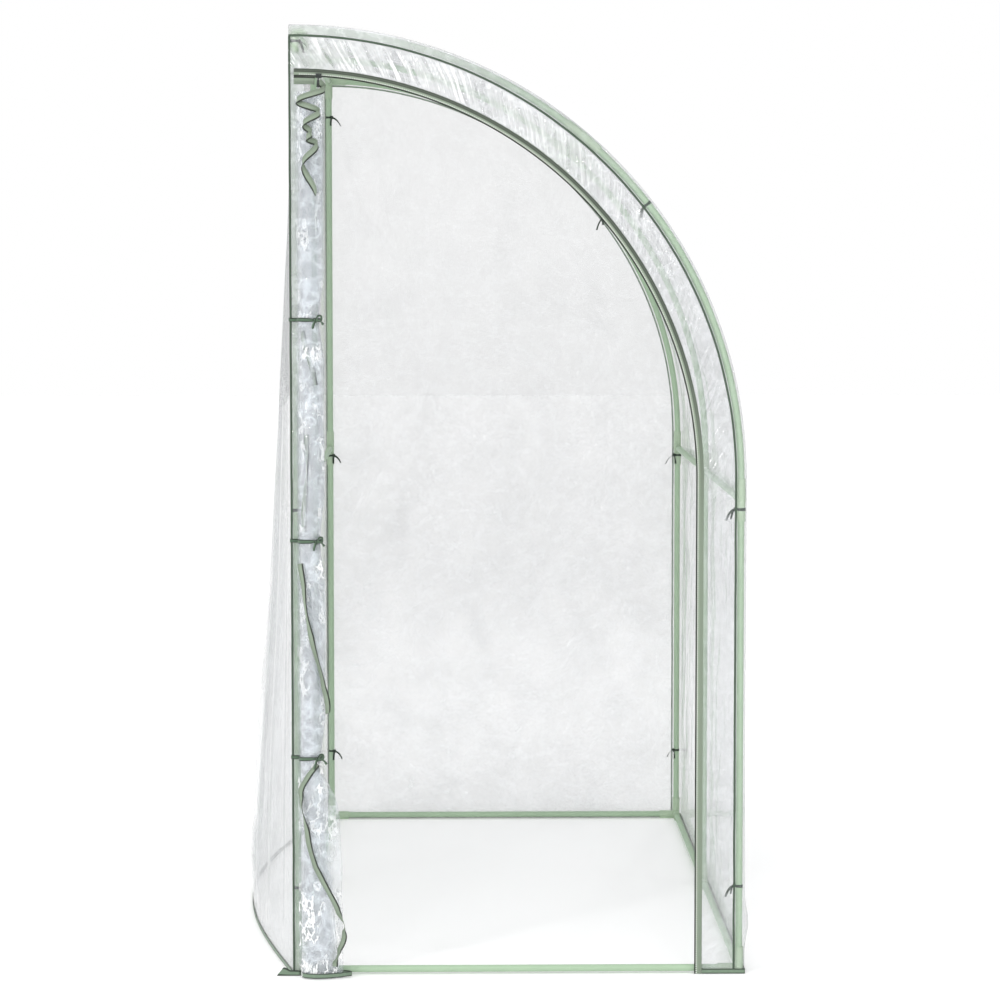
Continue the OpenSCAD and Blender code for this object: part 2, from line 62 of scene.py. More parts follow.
# The frame's sizes, as in part.scad
LENGTH = 2.0
DEPTH = 1.0
SPRING_Z = 1.127
MID_Z = 1.079
RIDGE_Z = SPRING_Z + DEPTH
PURLIN_ANGLE = math.radians(50)
TUBE_R = 0.008
SLEEVE_R = 0.0102
FRAMES_Y = (-LENGTH / 2, 0.0, LENGTH / 2)

# The cover's faces, as distances from the tube centres
FILM_MID = 0.01185
FILM_OUT = 0.0126
FILM_REACH = DEPTH + FILM_MID
END_MID = LENGTH / 2 + FILM_MID
END_OUT = LENGTH / 2 + FILM_OUT
FLOOR_GAP = 0.0005
RISE = SPRING_Z - FLOOR_GAP

# The cover's bindings and hems
HEM_H = 0.011
HEM_LIFT = 0.0004
BINDING_W = 0.0045
BINDING_R = DEPTH - 0.01225
TAPE_BODY = 0.00035

# The loose film on the wall side, and the shares of the solid's swell that it keeps, low down and higher up
SWELL = 0.16
SWELL_POWER = 0.8
SWELL_SHARES = (0.93, 0.80)
FOLD_HEIGHT = 0.02
WALL_FOLDS = 8
FOLD_Z = FLOOR_GAP + HEM_H + 0.004
FOLD_SWELL = 0.06
FOLD_RISE = 0.11

# How far the cover stands off the foot of the front post at the door end, and how high up
FOOT_BULGE = 0.009
FOOT_BULGE_Z = 0.12

# Seed, stretch and turn of the creases in the wall-side and the far-end film
WALL_CREASES = (7.7, 4.0, 0.05)
FAR_CREASES = (11.3, 2.0, 0.4)

# The doorway and its zip
DOOR_R = 0.906
HINGE_X = 0.024
TAPE_R0 = 0.898
TAPE_W = 0.017
TAPE_Y = -(END_OUT + 0.0006)
TEETH_R = TAPE_R0 + 0.0045
TEETH_Y = -(END_OUT + 0.0016)
TOOTH = (0.0024, 0.0009, 0.0023)
CLOSED_X = 0.0468
PUCKER_SLANT = 0.76
PUCKER_WAVE = 0.0034

# The gathered door
SEAM = (0.0015, -END_OUT - 0.0009)
SEAM_X = 0.006
BUNDLE_BACK = -(END_OUT + 0.0018)
BUNDLE_RX = 0.032
BUNDLE_RY = 0.021
WAIST_RX = 0.026
WAIST_RY = 0.014
FLARE = 0.018
FLARE_Z = 0.48
FLAP = 0.0265
BUNDLE_Z0 = 0.0015
BUNDLE_Z1 = 1.9905
BUNDLE_START = math.radians(118)
WAIST_SPAN = 0.09
STRAP_Z = (0.5, 0.99, 1.485)
STRAP_W = 0.016
BAND_W = STRAP_W * 0.55
KNOT_ANGLE = -60

# The door's own zip tape: places (x, z) of its curl at the top, and (angle, z) of where it shows further down
CURL = (
    (0.0590, 2.0110), (0.0700, 1.9960), (0.0080, 1.9680), (0.0590, 1.9440), (0.0230, 1.9170),
    (0.0410, 1.8970), (0.0300, 1.8860), (0.0540, 1.8740), (0.0205, 1.8300), (0.0500, 1.7600),
)
LONG_TRAIL = ((-138, 0.9410), (-113, 0.8300), (-85, 0.7500), (-42, 0.6570), (-22, 0.6030))
LOW_TRAIL = (
    (-62, 0.4880), (-112, 0.4550), (-146, 0.4150), (-125, 0.3600), (-101, 0.2870), (-65, 0.1990),
    (-35, 0.1440), (-17, 0.1100), (-34, 0.0770), (-50, 0.0500), (-58, 0.0300),
)
INNER_TRAIL = ((-150, 1.4600), (-95, 1.3900), (-70, 1.3400))
HIDDEN_TRAIL = ((-118, 1.2300), (-122, 1.1500), (-136, 1.0700), (-140, 1.0100))

# Places (x, y) of the folded hem at the bundle's foot, of the cover's hem corner and of a strap over the post
DOOR_HEM_FRONT = (
    (0.0070, -1.0290), (0.0160, -1.0500), (0.0500, -1.0590), (0.0880, -1.0500), (0.1030, -1.0440),
)
DOOR_HEM_BACK = (
    (0.1215, -1.0360), (0.1140, -1.0270), (0.0900, -1.0210), (0.0400, -1.0175), (0.0085, -1.0180),
)
HEM_CORNER = (
    (-0.0137, -1.0119), (-0.0300, -1.0140), (-0.0465, -1.0150), (-0.0480, -1.0160), (-0.0465, -1.0168),
    (-0.0220, -1.0170), (0.0040, -1.0168),
)
STRAP_ROOT = ((-0.0139, -1.0095), (-0.0130, -1.0142), (0, -1.0144), (0.0115, -1.0147))

# The ties: their height on a post, or their angle on the arch
TIE_W = 0.006
LOW_TIE_Z = 0.2
MID_TIE_Z = MID_Z - 0.021
TOP_TIE_Z = RIDGE_Z - 0.024
FAR_TOP_TIE_Z = TOP_TIE_Z - 0.078
ARCH_TIE_ANGLE = math.radians(38)

# The camera, its turn in degrees, and each lamp: name, place, point looked at, size, share of the key light
CAMERA_PLACE = (0.3497, -8.0572, 1.6140)
CAMERA_TURN = (90 - 4.329, 0.029, -0.878)
CAMERA_LENS = 113.32
CAMERA_SENSOR = 36
LAMPS = (
    ("window_left", (-3.2, -4.6, 3.6), (0.3, -0.6, 1.1), (0.35, 1.0), 1.4),
    ("window_front", (1.6, -6.4, 2.9), (0.3, -0.4, 1.0), (0.22, 0.6), 0.7),
    ("lamp_low", (-1.2, -5.5, 0.9), (0.3, -1.0, 0.8), (0.16, 0.4), 0.5),
    ("strip_right", (4.2, -2.4, 2.4), (0.8, 0.0, 1.2), (0.15, 1.0), 0.8),
    ("window_far", (2.0, 5.2, 4.0), (0.4, 0.0, 1.2), (0.3, 0.6), 0.8),
)


# Settings that a user can change

def colour_of(name, description, default):
    return FloatVectorProperty(
        name=name, description=description, subtype="COLOR", size=3, min=0, max=1, default=default
    )


def length_of(name, description, low, high, default, precision=4):
    return FloatProperty(
        name=name, description=description, min=low, max=high, default=default,
        unit="LENGTH", precision=precision,
    )


def share_of(name, description, high, default):
    return FloatProperty(
        name=name, description=description, min=0, max=high, default=default, subtype="FACTOR"
    )


class FrameFinish(bpy.types.PropertyGroup):
    """Colours of the frame"""

    tube: colour_of("Tubes", "Colour of the coated steel tubes", (0.36, 0.49, 0.34))
    connector: colour_of("Connectors", "Colour of the moulded connectors", (0.40, 0.51, 0.37))
    slider: colour_of("Zip slider", "Colour of the lacquered slider and its pull", (0.020, 0.028, 0.024))


class FilmLook(bpy.types.PropertyGroup):
    """The clear film of the cover and the door"""

    tint: colour_of("Cover tint", "Colour that the cover film gives to light", (0.46, 0.475, 0.49))
    opacity: share_of("Cover opacity", "How much one face of the cover film hides", 1, 0.24)
    door_tint: colour_of("Door tint", "Colour that the door film gives to light", (0.66, 0.70, 0.735))
    door_opacity: share_of("Door opacity", "How much one face of the door film hides", 1, 0.075)
    thickness: length_of("Thickness", "Thickness of all the film", 0.0001, 0.0015, 0.0004)
    sag: length_of("Sag", "How deep the roof film dips between the tubes", 0, 0.04, 0.014, 3)
    crease: length_of("Crease", "Height of the creases of loose film", 0, 0.01, 0.004)
    pucker: length_of("Pucker", "Height of the puckers between the arch and the zip", 0, 0.004, 0.0035)


class TrimLook(bpy.types.PropertyGroup):
    """Bindings, zip and ribbons"""

    binding: colour_of("Binding", "Colour of the edge binding at the door end", (0.045, 0.070, 0.047))
    # Painted light: the far binding is the door-end binding's tape painted paler, to lift the shade on its
    # inner face seen through the film.
    far_binding_painted_light: colour_of("Far binding", "Colour of the edge binding at the far end", (0.26, 0.33, 0.25))
    tape: colour_of("Zip tape", "Colour of the zip tape", (0.150, 0.185, 0.140))
    ribbon: colour_of("Ribbon", "Colour of the ties", (0.030, 0.050, 0.033))
    hem: colour_of("Hem", "Colour of the hems at the foot of the cover and the door", (0.17, 0.24, 0.17))
    strap: colour_of("Straps", "Colour of the straps round the gathered door", (0.085, 0.140, 0.090))
    teeth: colour_of("Teeth", "Colour of the zip teeth", (0.80, 0.84, 0.78))
    cloth: length_of("Cloth thickness", "Thickness of bindings, hems and tapes", 0.0002, 0.0012, 0.0006)
    tooth_pitch: length_of("Tooth pitch", "Distance from tooth to tooth of the zip", 0.0025, 0.008, 0.0049)


class DoorLook(bpy.types.PropertyGroup):
    """The gathered door"""

    turns: FloatProperty(
        name="Turns", description="How often the door film is wound round", min=2, max=8, default=6
    )
    folds: IntProperty(name="Folds", description="Long folds round the bundle", min=3, max=12, default=7)
    fold_depth: share_of("Fold depth", "Depth of the folds as a share of the bundle's half width", 0.3, 0.16)


class StageLook(bpy.types.PropertyGroup):
    """Floor and light"""

    floor: colour_of("Floor", "Colour of the studio floor", (0.90, 0.90, 0.90))
    sky: FloatProperty(
        name="Sky", description="Strength of the soft white light from all round", min=0, max=3, default=0.70
    )
    key: FloatProperty(
        name="Key light", description="Power that the lamps are shares of", min=0, max=3000, default=40,
        unit="POWER",
    )


# Small helpers for numbers and places

def ease(value, low, high):
    """A smooth step from 0 at low to 1 at high."""
    t = min(1.0, max(0.0, (value - low) / (high - low)))
    return t * t * (3 - 2 * t)


def blend(a, b, t):
    return a + (b - a) * t


def wobble(*place):
    """Smooth unevenness from about -1 to 1 at a place."""
    return noise.noise(Vector(place))


def creases(across, along, seed, stretch=1.0, turn=0.0):
    """Height from about -1 to 1 of loose film at a place: broad waves, sharp creases and fine crumple.

    The creases are drawn out by stretch, along a direction that is turned by that angle.
    """
    c, s = math.cos(turn), math.sin(turn)
    place = Vector((across * c + along * s, (along * c - across * s) / stretch, seed))
    warped = place + 0.2 * noise.noise_vector(place * 2.0)
    broad = noise.noise(place * 2.6)
    sharp = 1 - 3 * abs(noise.noise(warped * 7))
    fine = 1 - 3 * abs(noise.noise(warped * 19))
    return 0.55 * broad + 0.32 * sharp + 0.13 * fine


def painted_crease_light(height, crest_highlight=0.3, dip=0.15):
    """The painted light of loose film at that height of its creases: up to 1, a painted highlight on crests,
    down to -1, painted shade in dips.
    """
    return ease(height, crest_highlight, crest_highlight + 0.3) - ease(-height, dip, dip + 0.45)


def arch_length(reach, overrun=0.0):
    """Length of a line that goes up the front, over the arch and past the wall side by the overrun."""
    return RISE + reach * math.pi / 2 + overrun


def arch_place(run, reach):
    """Place (x, z) and outward direction after that run along the line."""
    if run <= RISE:
        return (reach, FLOOR_GAP + run), (1.0, 0.0)
    angle = (run - RISE) / reach
    if angle <= math.pi / 2:
        c, s = math.cos(angle), math.sin(angle)
        return (reach * c, SPRING_Z + reach * s), (c, s)
    return (-(run - RISE - reach * math.pi / 2), SPRING_Z + reach), (0.0, 1.0)


def side_swell(y, z):
    """How far the wall-side film stands out: the swell of part.scad, drawn in to the outline in the photo."""
    share = blend(*SWELL_SHARES, ease(z, 0.35, 0.95))
    height = max(0.0, 1 - z / (RIDGE_Z + FILM_MID))
    return share * SWELL * math.cos(math.pi / 2 * y / END_MID) * height ** SWELL_POWER


def side_fold(y, z):
    """How far the long folds push the wall-side film out: those of part.scad, on the swell drawn in."""
    loose = min(1.0, side_swell(y, z) / FOLD_SWELL) * min(1.0, max(0.0, z - FOLD_Z) / FOLD_RISE)
    return FOLD_HEIGHT / 2 * loose * math.sin(math.pi * WALL_FOLDS * (y / END_MID + 1))


def fullness(z):
    """How full the bundle is at a height: 0 at a strap and 1 well away from the straps."""
    away = min(max(0.0, abs(z - s) - STRAP_W / 2 - 0.002) for s in STRAP_Z)
    return ease(away, 0, WAIST_SPAN)


def bundle_half(z):
    """The bundle's half width and half depth at a height."""
    full = fullness(z)
    rx = BUNDLE_RX + FLARE * max(0.0, 1 - z / FLARE_Z) ** 2
    return blend(WAIST_RX, rx, full), blend(WAIST_RY, BUNDLE_RY, full)


def flap(z):
    """How far the loose outer turn stands out towards the doorway below the lowest strap."""
    return FLAP * ease(STRAP_Z[0] - 0.01 - z, 0.0, 0.12) * min(1.0, z / 0.25) ** 0.8


def on_bundle(angle, z, lift=0.0):
    """A place on the bundle's outside, at an angle in degrees from +X, and how far it stands off."""
    rx, ry = bundle_half(z)
    a = math.radians(angle)
    aside = rx + (rx + lift) * math.cos(a) + flap(z) * max(0.0, math.cos(a))
    return Vector((SEAM_X + aside, BUNDLE_BACK - ry + (ry + lift) * math.sin(a), z))


def loose_foot(z):
    """How far the cover stands off the foot of the front post at the door end."""
    return FOOT_BULGE * math.exp(-((z - FOOT_BULGE_Z) / 0.04) ** 2)


def tape_profile(u):
    """Height over the film of a folded and sewn edge tape, from edge to edge."""
    return TAPE_BODY * (math.sin(math.pi * min(1.0, max(0.0, u))) ** 0.4)


def smooth_path(points, steps):
    """A smooth line through all the points, with that many steps between two of them."""
    points = [Vector(p) for p in points]
    ends = [2 * points[0] - points[1], *points, 2 * points[-1] - points[-2]]
    line = []
    for i in range(1, len(ends) - 2):
        a, b, c, d = ends[i - 1 : i + 3]
        for k in range(steps):
            t = k / steps
            square = (2 * a - 5 * b + 4 * c - d) * t * t
            cube = (3 * b - a - 3 * c + d) * t ** 3
            line.append(0.5 * (2 * b + (c - a) * t + square + cube))
    return [*line, points[-1]]


def loose_end(start, heading, pull, length, steps):
    """Points of a loose end that sets out along its heading and is pulled round as it goes."""
    points = [start]
    for _ in range(steps):
        heading = (heading + pull).normalized()
        points.append(points[-1] + heading * length / steps)
    return points


# Mesh helpers

def start_piece():
    """Leaves edit mode and deselects everything, so that the next operator acts on new geometry alone."""
    if bpy.context.object and bpy.context.object.mode != "OBJECT":
        bpy.ops.object.mode_set(mode="OBJECT")
    bpy.ops.object.select_all(action="DESELECT")


def select_only(*pieces):
    """Selects these pieces and nothing else, and makes the first one active."""
    start_piece()
    for piece in pieces:
        piece.select_set(True)
    bpy.context.view_layer.objects.active = pieces[0]


def sheet_of(name, cols, rows, size, place, crease=None, cling=None):
    """Adds a grid, moves each of its points to place(u, v) and gives it a UV map in metres.

    Where crease(u, v) is given, the attribute crease holds the painted light there: up to 1 the film is
    painted whiter and hazier, mostly painted highlights on crests and streaks, and down to -1 darker, painted
    shade in dips.
    The attribute cling, from cling(u, v), says how much clearer the film is made there, as where it lies
    close on a tube.
    """
    start_piece()
    bpy.ops.mesh.primitive_grid_add(x_subdivisions=cols, y_subdivisions=rows, size=1)
    piece = bpy.context.object
    piece.name = piece.data.name = name
    flat = [(p.co.x + 0.5, p.co.y + 0.5) for p in piece.data.vertices]
    for point, (u, v) in zip(piece.data.vertices, flat):
        point.co = place(u, v)
    layer = piece.data.uv_layers.active.data
    for loop in piece.data.loops:
        u, v = flat[loop.vertex_index]
        layer[loop.index].uv = (u * size[0], v * size[1])
    for key, worth in (("crease", crease), ("cling", cling)):
        if worth:
            marks = piece.data.attributes.new(key, "FLOAT", "POINT").data
            for mark, (u, v) in zip(marks, flat):
                mark.value = worth(u, v)
    return piece


def thicken(piece, thickness, lined=False):
    """Gives a sheet its thickness, half to each side, and smooth shading. Lined, it has two materials."""
    solid = piece.modifiers.new("Thickness", "SOLIDIFY")
    solid.thickness = thickness
    solid.offset = 0
    if lined:
        piece.data.materials.append(None)
        piece.data.materials.append(None)
        solid.material_offset = 1
    select_only(piece)
    bpy.ops.object.modifier_apply(modifier=solid.name)
    bpy.ops.object.shade_smooth()


def joined(name, pieces, thickness=None):
    """One piece made of several, which are given their thickness first where there is one."""
    if thickness:
        for piece in pieces:
            thicken(piece, thickness)
    select_only(*pieces)
    if len(pieces) > 1:
        bpy.ops.object.join()
    whole = bpy.context.object
    whole.name = whole.data.name = name
    return whole


def weld(piece):
    """Merges doubled points and turns all faces outwards."""
    select_only(piece)
    bpy.ops.object.mode_set(mode="EDIT")
    bpy.ops.mesh.select_all(action="SELECT")
    bpy.ops.mesh.remove_doubles(threshold=0.00002)
    bpy.ops.mesh.normals_make_consistent(inside=False)
    bpy.ops.object.mode_set(mode="OBJECT")


def dress(piece, paint, body="greenhouse", replaces=(), darker_back_and_shade=None):
    """Gives a finished piece its material and its place in the assembly."""
    if darker_back_and_shade:
        piece.data.materials[0] = paint
        piece.data.materials[1] = darker_back_and_shade
    else:
        piece.data.materials.clear()
        piece.data.materials.append(paint)
    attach(piece, body)
    if replaces:
        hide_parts(*replaces)


def ribbon_along(path, facing, width, thickness, cols=3, curl=0.0, lined=False):
    """A woven ribbon along a path. Facing gives the direction of its face at each point of the path."""
    last = len(path) - 1
    ways = [(path[min(last, i + 1)] - path[max(0, i - 1)]).normalized() for i in range(last + 1)]
    length = sum((b - a).length for a, b in zip(path, path[1:]))

    def place(u, v):
        i = round(v * last)
        across = ways[i].cross(facing[i]).normalized()
        face = across.cross(ways[i])
        side = (u - 0.5) * 2
        return path[i] + across * side * width / 2 - face * curl * side * side

    piece = sheet_of("ribbon", cols, last, (width, length), place)
    thicken(piece, thickness, lined)
    return piece


def trefoil_knot(centre, axes, size, ribbon_r):
    """A small pulled-tight overhand knot, swept as a flattened cord along a trefoil line."""
    steps, sides = 60, 8
    right, up, out = axes

    def line(t):
        a = 2 * math.pi * t
        x = (math.sin(a) + 2 * math.sin(2 * a)) / 3
        y = (math.cos(a) - 2 * math.cos(2 * a)) / 3
        z = -math.sin(3 * a) / 2.2
        return centre + size * (right * x + up * y * 0.8 + out * z * 0.6)

    def place(u, v):
        here = line(v)
        way = (line(v + 0.002) - line(v - 0.002)).normalized()
        side = way.cross(out).normalized()
        top = side.cross(way)
        a = 2 * math.pi * u
        return here + side * math.cos(a) * ribbon_r * 1.25 + top * math.sin(a) * ribbon_r * 0.7

    knot = sheet_of("knot", sides, steps, (2 * math.pi * ribbon_r, size * 9), place)
    weld(knot)
    bpy.ops.object.shade_smooth()
    return knot


# Materials

class Value:
    """A number or colour that varies over a surface, with Python's operators as Math nodes."""

    def __init__(self, nodes, socket):
        self.nodes = nodes
        self.socket = socket

    def math(self, operation, *others):
        return self.nodes.node("ShaderNodeMath", {"operation": operation}, dict(enumerate((self, *others))))

    def __add__(self, other):
        return self.math("ADD", other)

    def __sub__(self, other):
        return self.math("SUBTRACT", other)

    def __rsub__(self, other):
        return self.nodes.node("ShaderNodeMath", {"operation": "SUBTRACT"}, {0: other, 1: self})

    def __mul__(self, other):
        return self.math("MULTIPLY", other)

    def __pow__(self, other):
        return self.math("POWER", other)

    __radd__ = __add__
    __rmul__ = __mul__

    def sine(self):
        return self.math("SINE")

    def size(self):
        return self.math("ABSOLUTE")

    def within(self, low, high, new_low=0.0, new_high=1.0):
        """The value's range from low to high, made a smooth step from new_low to new_high."""
        inputs = {"Value": self, "From Min": low, "From Max": high, "To Min": new_low, "To Max": new_high}
        return self.nodes.node("ShaderNodeMapRange", {"interpolation_type": "SMOOTHSTEP"}, inputs)


class Nodes:
    """The nodes of one tree, which is emptied first."""

    def __init__(self, tree):
        self.tree = tree
        tree.nodes.clear()

    def node(self, kind, settings=None, inputs=None, output=0):
        """Adds a node: its settings first, then the values or links of its sockets."""
        made = self.tree.nodes.new(kind)
        for key, setting in (settings or {}).items():
            setattr(made, key, setting)
        for key, value in (inputs or {}).items():
            if isinstance(value, Value):
                self.tree.links.new(value.socket, made.inputs[key])
            else:
                made.inputs[key].default_value = value
        return Value(self, made.outputs[output]) if made.outputs else None


class Paint(Nodes):
    """The nodes of one material."""

    def __init__(self, name):
        self.material = bpy.data.materials.new(name)
        self.material.use_nodes = True
        super().__init__(self.material.node_tree)

    def uv(self, axis):
        """One axis of the piece's own map, in metres."""
        coordinates = self.node("ShaderNodeTexCoord", output="UV")
        return self.node("ShaderNodeSeparateXYZ", None, {0: coordinates}, output=axis)

    def attribute(self, name):
        return self.node("ShaderNodeAttribute", {"attribute_name": name}, output="Fac")

    def noise(self, scale, detail=2.0, roughness=0.5, stretch=(1, 1, 1)):
        """Noise by the place on the object, with each axis stretched."""
        coordinates = self.node("ShaderNodeTexCoord", output="Object")
        place = self.node("ShaderNodeMapping", None, {"Vector": coordinates, "Scale": stretch})
        inputs = {"Vector": place, "Scale": scale, "Detail": detail, "Roughness": roughness}
        return self.node("ShaderNodeTexNoise", None, inputs)

    def mix(self, share, a, b):
        """Colour a where the share is 0, and b where it is 1."""
        return self.node("ShaderNodeMix", {"data_type": "RGBA"}, {0: share, 6: a, 7: b}, output=2)

    def bump(self, height, strength, distance):
        inputs = {"Height": height, "Strength": strength, "Distance": distance}
        return self.node("ShaderNodeBump", None, inputs)

    def finish(self, colour, roughness, normal, alpha=None, **constants):
        """Adds the surface shader and returns the material."""
        inputs = {"Base Color": colour, "Roughness": roughness}
        if normal:
            inputs["Normal"] = normal
        if alpha:
            inputs["Alpha"] = alpha
        inputs.update({key.replace("_", " "): value for key, value in constants.items()})
        surface = self.node("ShaderNodeBsdfPrincipled", None, inputs)
        self.node("ShaderNodeOutputMaterial", None, {"Surface": surface})
        return self.material


def colour4(colour, factor=1.0):
    """A colour with its alpha, made lighter or darker by the factor."""
    return (*(min(1.0, c * factor) for c in colour), 1.0)


def ripple(value, pitch):
    """A wave that repeats every pitch."""
    return (value * (2 * math.pi / pitch)).sine()


def stitch_row(across, along, line, narrow, pitch, gap):
    """A row of stitches along a tape, at that line across it."""
    row = 1 - ((across - line) * narrow).size()
    return row.within(0.0, 0.6) * ripple(along, pitch).math("GREATER_THAN", gap)


def coated_tube(colour):
    """Plastic-coated steel: satin, a little mottled, with fine scuffs along the tube."""
    paint = Paint("coated_tube")
    mottle = paint.noise(14, 3)
    scuff = paint.noise(420, 4, 0.7, (1, 1, 0.06)).within(0.62, 0.74)
    peel = paint.noise(900, 1)
    base = paint.mix(mottle, colour4(colour, 0.92), colour4(colour, 1.08))
    base = paint.mix(scuff * 0.35, base, colour4(colour, 1.45))
    rough = 0.34 + mottle * 0.12 + scuff * 0.2
    return paint.finish(base, rough, paint.bump(peel + scuff, 0.25, 0.0004), Specular_IOR_Level=0.5)


def moulded_connector(colour):
    """Moulded plastic: fine matt grain, paler flow marks and rubbed places."""
    paint = Paint("moulded_connector")
    flow = paint.noise(26, 4, 0.6, (1, 1, 0.5))
    grain = paint.noise(2200, 1)
    rubbed = paint.noise(55, 3).within(0.58, 0.7)
    base = paint.mix(flow, colour4(colour, 0.93), colour4(colour, 1.07))
    base = paint.mix(rubbed * 0.3, base, colour4(colour, 1.2))
    rough = 0.5 + grain * 0.12 - rubbed * 0.12
    return paint.finish(base, rough, paint.bump(grain + flow * 0.5, 0.3, 0.0003), Specular_IOR_Level=0.45)


def lacquered_slider(colour):
    """Lacquered die-cast metal, worn bright in small places."""
    paint = Paint("lacquered_slider")
    worn = paint.noise(380, 5, 0.65).within(0.6, 0.68)
    base = paint.mix(worn, colour4(colour), (0.32, 0.32, 0.31, 1))
    grain = paint.noise(1500, 2)
    return paint.finish(base, 0.28 + grain * 0.16, paint.bump(grain, 0.2, 0.0002), Metallic=worn * 0.9)


def clear_film(name, tint, opacity, crinkle, painted_glints=False):
    """Clear soft PVC: glossy, hazier along creases and where it is seen edge on, with painted highlights and
    painted shade.
    """
    paint = Paint(name)
    soft = paint.noise(9, 1)
    fold = 1 - (paint.noise(23, 2, 0.55) - 0.5).size() * 9
    fold = fold.within(0.25, 1.0)
    edge = paint.node("ShaderNodeLayerWeight", None, {"Blend": 0.35}, output="Facing")
    # The crease attribute is painted light: on crests a painted highlight, near white and hazier; in dips
    # painted shade, a darker tint.
    crease = paint.attribute("crease")
    crest_highlight = crease.math("MAXIMUM", 0.0)
    dip = (crease * -1).math("MAXIMUM", 0.0)
    # Painted glints: the painted highlights are broken into thin bright lines and made stronger.
    if painted_glints:
        ridge = (1 - (paint.noise(34, 3, 0.6, (1, 1, 0.5)) - 0.5).size() * 15).within(0.3, 0.9)
        crest_highlight = crest_highlight * ridge * paint.noise(13, 1).within(0.45, 0.55) * 1.8
    haze = opacity * (0.75 + soft * 0.5) + fold * 0.03 + (edge ** 4) * 0.5
    alpha = (haze + crest_highlight * 0.35 + dip * 0.14) * (1 - paint.attribute("cling") * 0.75)
    base = paint.mix(fold, colour4(tint, 0.9 if painted_glints else 1), colour4(tint, 1.35))
    base = paint.mix(dip, base, colour4(tint, 0.72))
    base = paint.mix(crest_highlight, base, (0.97, 0.98, 0.98, 1))
    normal = paint.bump(soft * 0.9 + fold * 0.28, crinkle, 0.012)
    gloss = {"Specular_IOR_Level": 0.85, "Coat_Weight": 0.6, "Coat_Roughness": 0.04}
    return paint.finish(base, 0.07 + soft * 0.08 + fold * 0.06, normal, alpha, **gloss)


def woven_cloth(name, colour, rib, stitched=0, edged=0):
    """Woven tape: ribs across it, threads along it and a fuzzy sheen, some with stitches or dark edges.

    Stitched is the place of a row of stitches, and edged the width of a tape whose two edges are dark.
    """
    paint = Paint(name)
    across, along = paint.uv("X"), paint.uv("Y")
    ribs = ripple(along, rib)
    weave = ribs * ripple(across, rib * 0.8) * 0.5 + 0.5
    worn = paint.noise(70, 4, 0.6)
    base = paint.mix(weave, colour4(colour, 0.72), colour4(colour, 1.25))
    base = paint.mix(worn.within(0.5, 0.8) * 0.4, base, colour4(colour, 1.7))
    height = weave + ribs * 0.3
    if stitched:
        stitch = stitch_row(across, along, stitched, 1400, 0.0032, -0.4)
        base = paint.mix(stitch * 0.8, base, colour4(colour, 2.4))
        height = height + stitch * 1.5
    if edged:
        rim = (across - edged / 2).size().within(edged / 2 - 0.0026, edged / 2 - 0.0014)
        base = paint.mix(rim, base, paint.mix(weave, colour4(colour, 0.16), colour4(colour, 0.30)))
    sheen = {"Sheen_Weight": 0.25, "Sheen_Roughness": 0.4}
    return paint.finish(base, 0.82, paint.bump(height, 0.5, 0.0003), **sheen)


def zip_tape_cloth(name, colour):
    """Zip tape: a dark corded inner edge, a paler woven band under the teeth and a darker sewn outer band."""
    paint = Paint(name)
    across, along = paint.uv("X"), paint.uv("Y")
    slant = ripple(along + (across - TAPE_W / 2).size() * 0.9, 0.0016) * 0.5 + 0.5
    inner = 1 - across.within(0.0028, 0.0036)
    # The outer band is darker over the arch than up the front: a quarter as dark up to 0.9 m along, all of it
    # from 1.5 m.
    outer = across.within(0.0078, 0.0105) * along.within(0.9, 1.5, 0.25, 1.0)
    base = paint.mix(slant, colour4(colour, 1.1), colour4(colour, 2.1))
    base = paint.mix(outer, base, paint.mix(slant, colour4(colour, 0.28), colour4(colour, 0.50)))
    base = paint.mix(inner, base, colour4(colour, 0.16))
    stitch = stitch_row(across, along, 0.0132, 1700, 0.0034, -0.3)
    base = paint.mix(stitch * 0.6, base, colour4(colour, 1.3))
    normal = paint.bump(slant + stitch * 1.5, 0.5, 0.0003)
    return paint.finish(base, 0.8, normal, Sheen_Weight=0.1, Sheen_Roughness=0.4)


def nylon_teeth(colour):
    """Moulded nylon, with faint dirt between the teeth."""
    paint = Paint("zip_teeth")
    dirt = paint.noise(240, 3)
    base = paint.mix(dirt, colour4(colour, 0.75), colour4(colour, 1.1))
    return paint.finish(base, 0.32 + dirt * 0.15, paint.bump(dirt, 0.2, 0.0002))


def studio_floor(colour):
    """A pale matt floor that glows a little, so that it is as white as the light round it."""
    paint = Paint("studio_floor")
    cloud = paint.noise(0.8, 3)
    base = paint.mix(cloud, colour4(colour, 0.99), colour4(colour, 1.01))
    glow = {"Emission_Color": (1, 1, 1, 1), "Emission_Strength": 0.13}
    return paint.finish(base, 0.7 + cloud * 0.1, None, **glow)


PAINTS = {
    "cover": lambda film, trim: clear_film("cover_film", film.tint, film.opacity, 0.35),
    "door": lambda film, trim: clear_film("door_film", film.door_tint, film.door_opacity, 0.5, True),
    "binding": lambda film, trim: woven_cloth("edge_binding", trim.binding, 0.0012, 0.0022),
    "far_binding_painted_light": lambda film, trim: woven_cloth("far_binding_painted_light", trim.far_binding_painted_light, 0.0012, 0.0022),
    "hem": lambda film, trim: woven_cloth("hem_tape", trim.hem, 0.0012, edged=HEM_H),
    "ribbon": lambda film, trim: woven_cloth("tie_ribbon", trim.ribbon, 0.0010),
    "strap": lambda film, trim: woven_cloth("strap_ribbon", trim.strap, 0.0010, edged=BAND_W),
    "tape": lambda film, trim: zip_tape_cloth("zip_tape", trim.tape),
    # The back face of the door's tape, the tape colour at 0.35: partly a darker back face, partly painted
    # shade on the strands seen from behind.
    "darker_back_and_shade": lambda film, trim: woven_cloth("tape_back_and_shade", tuple(c * 0.35 for c in trim.tape), 0.0014),
    "teeth": lambda film, trim: nylon_teeth(trim.teeth),
}
made_paints = {}


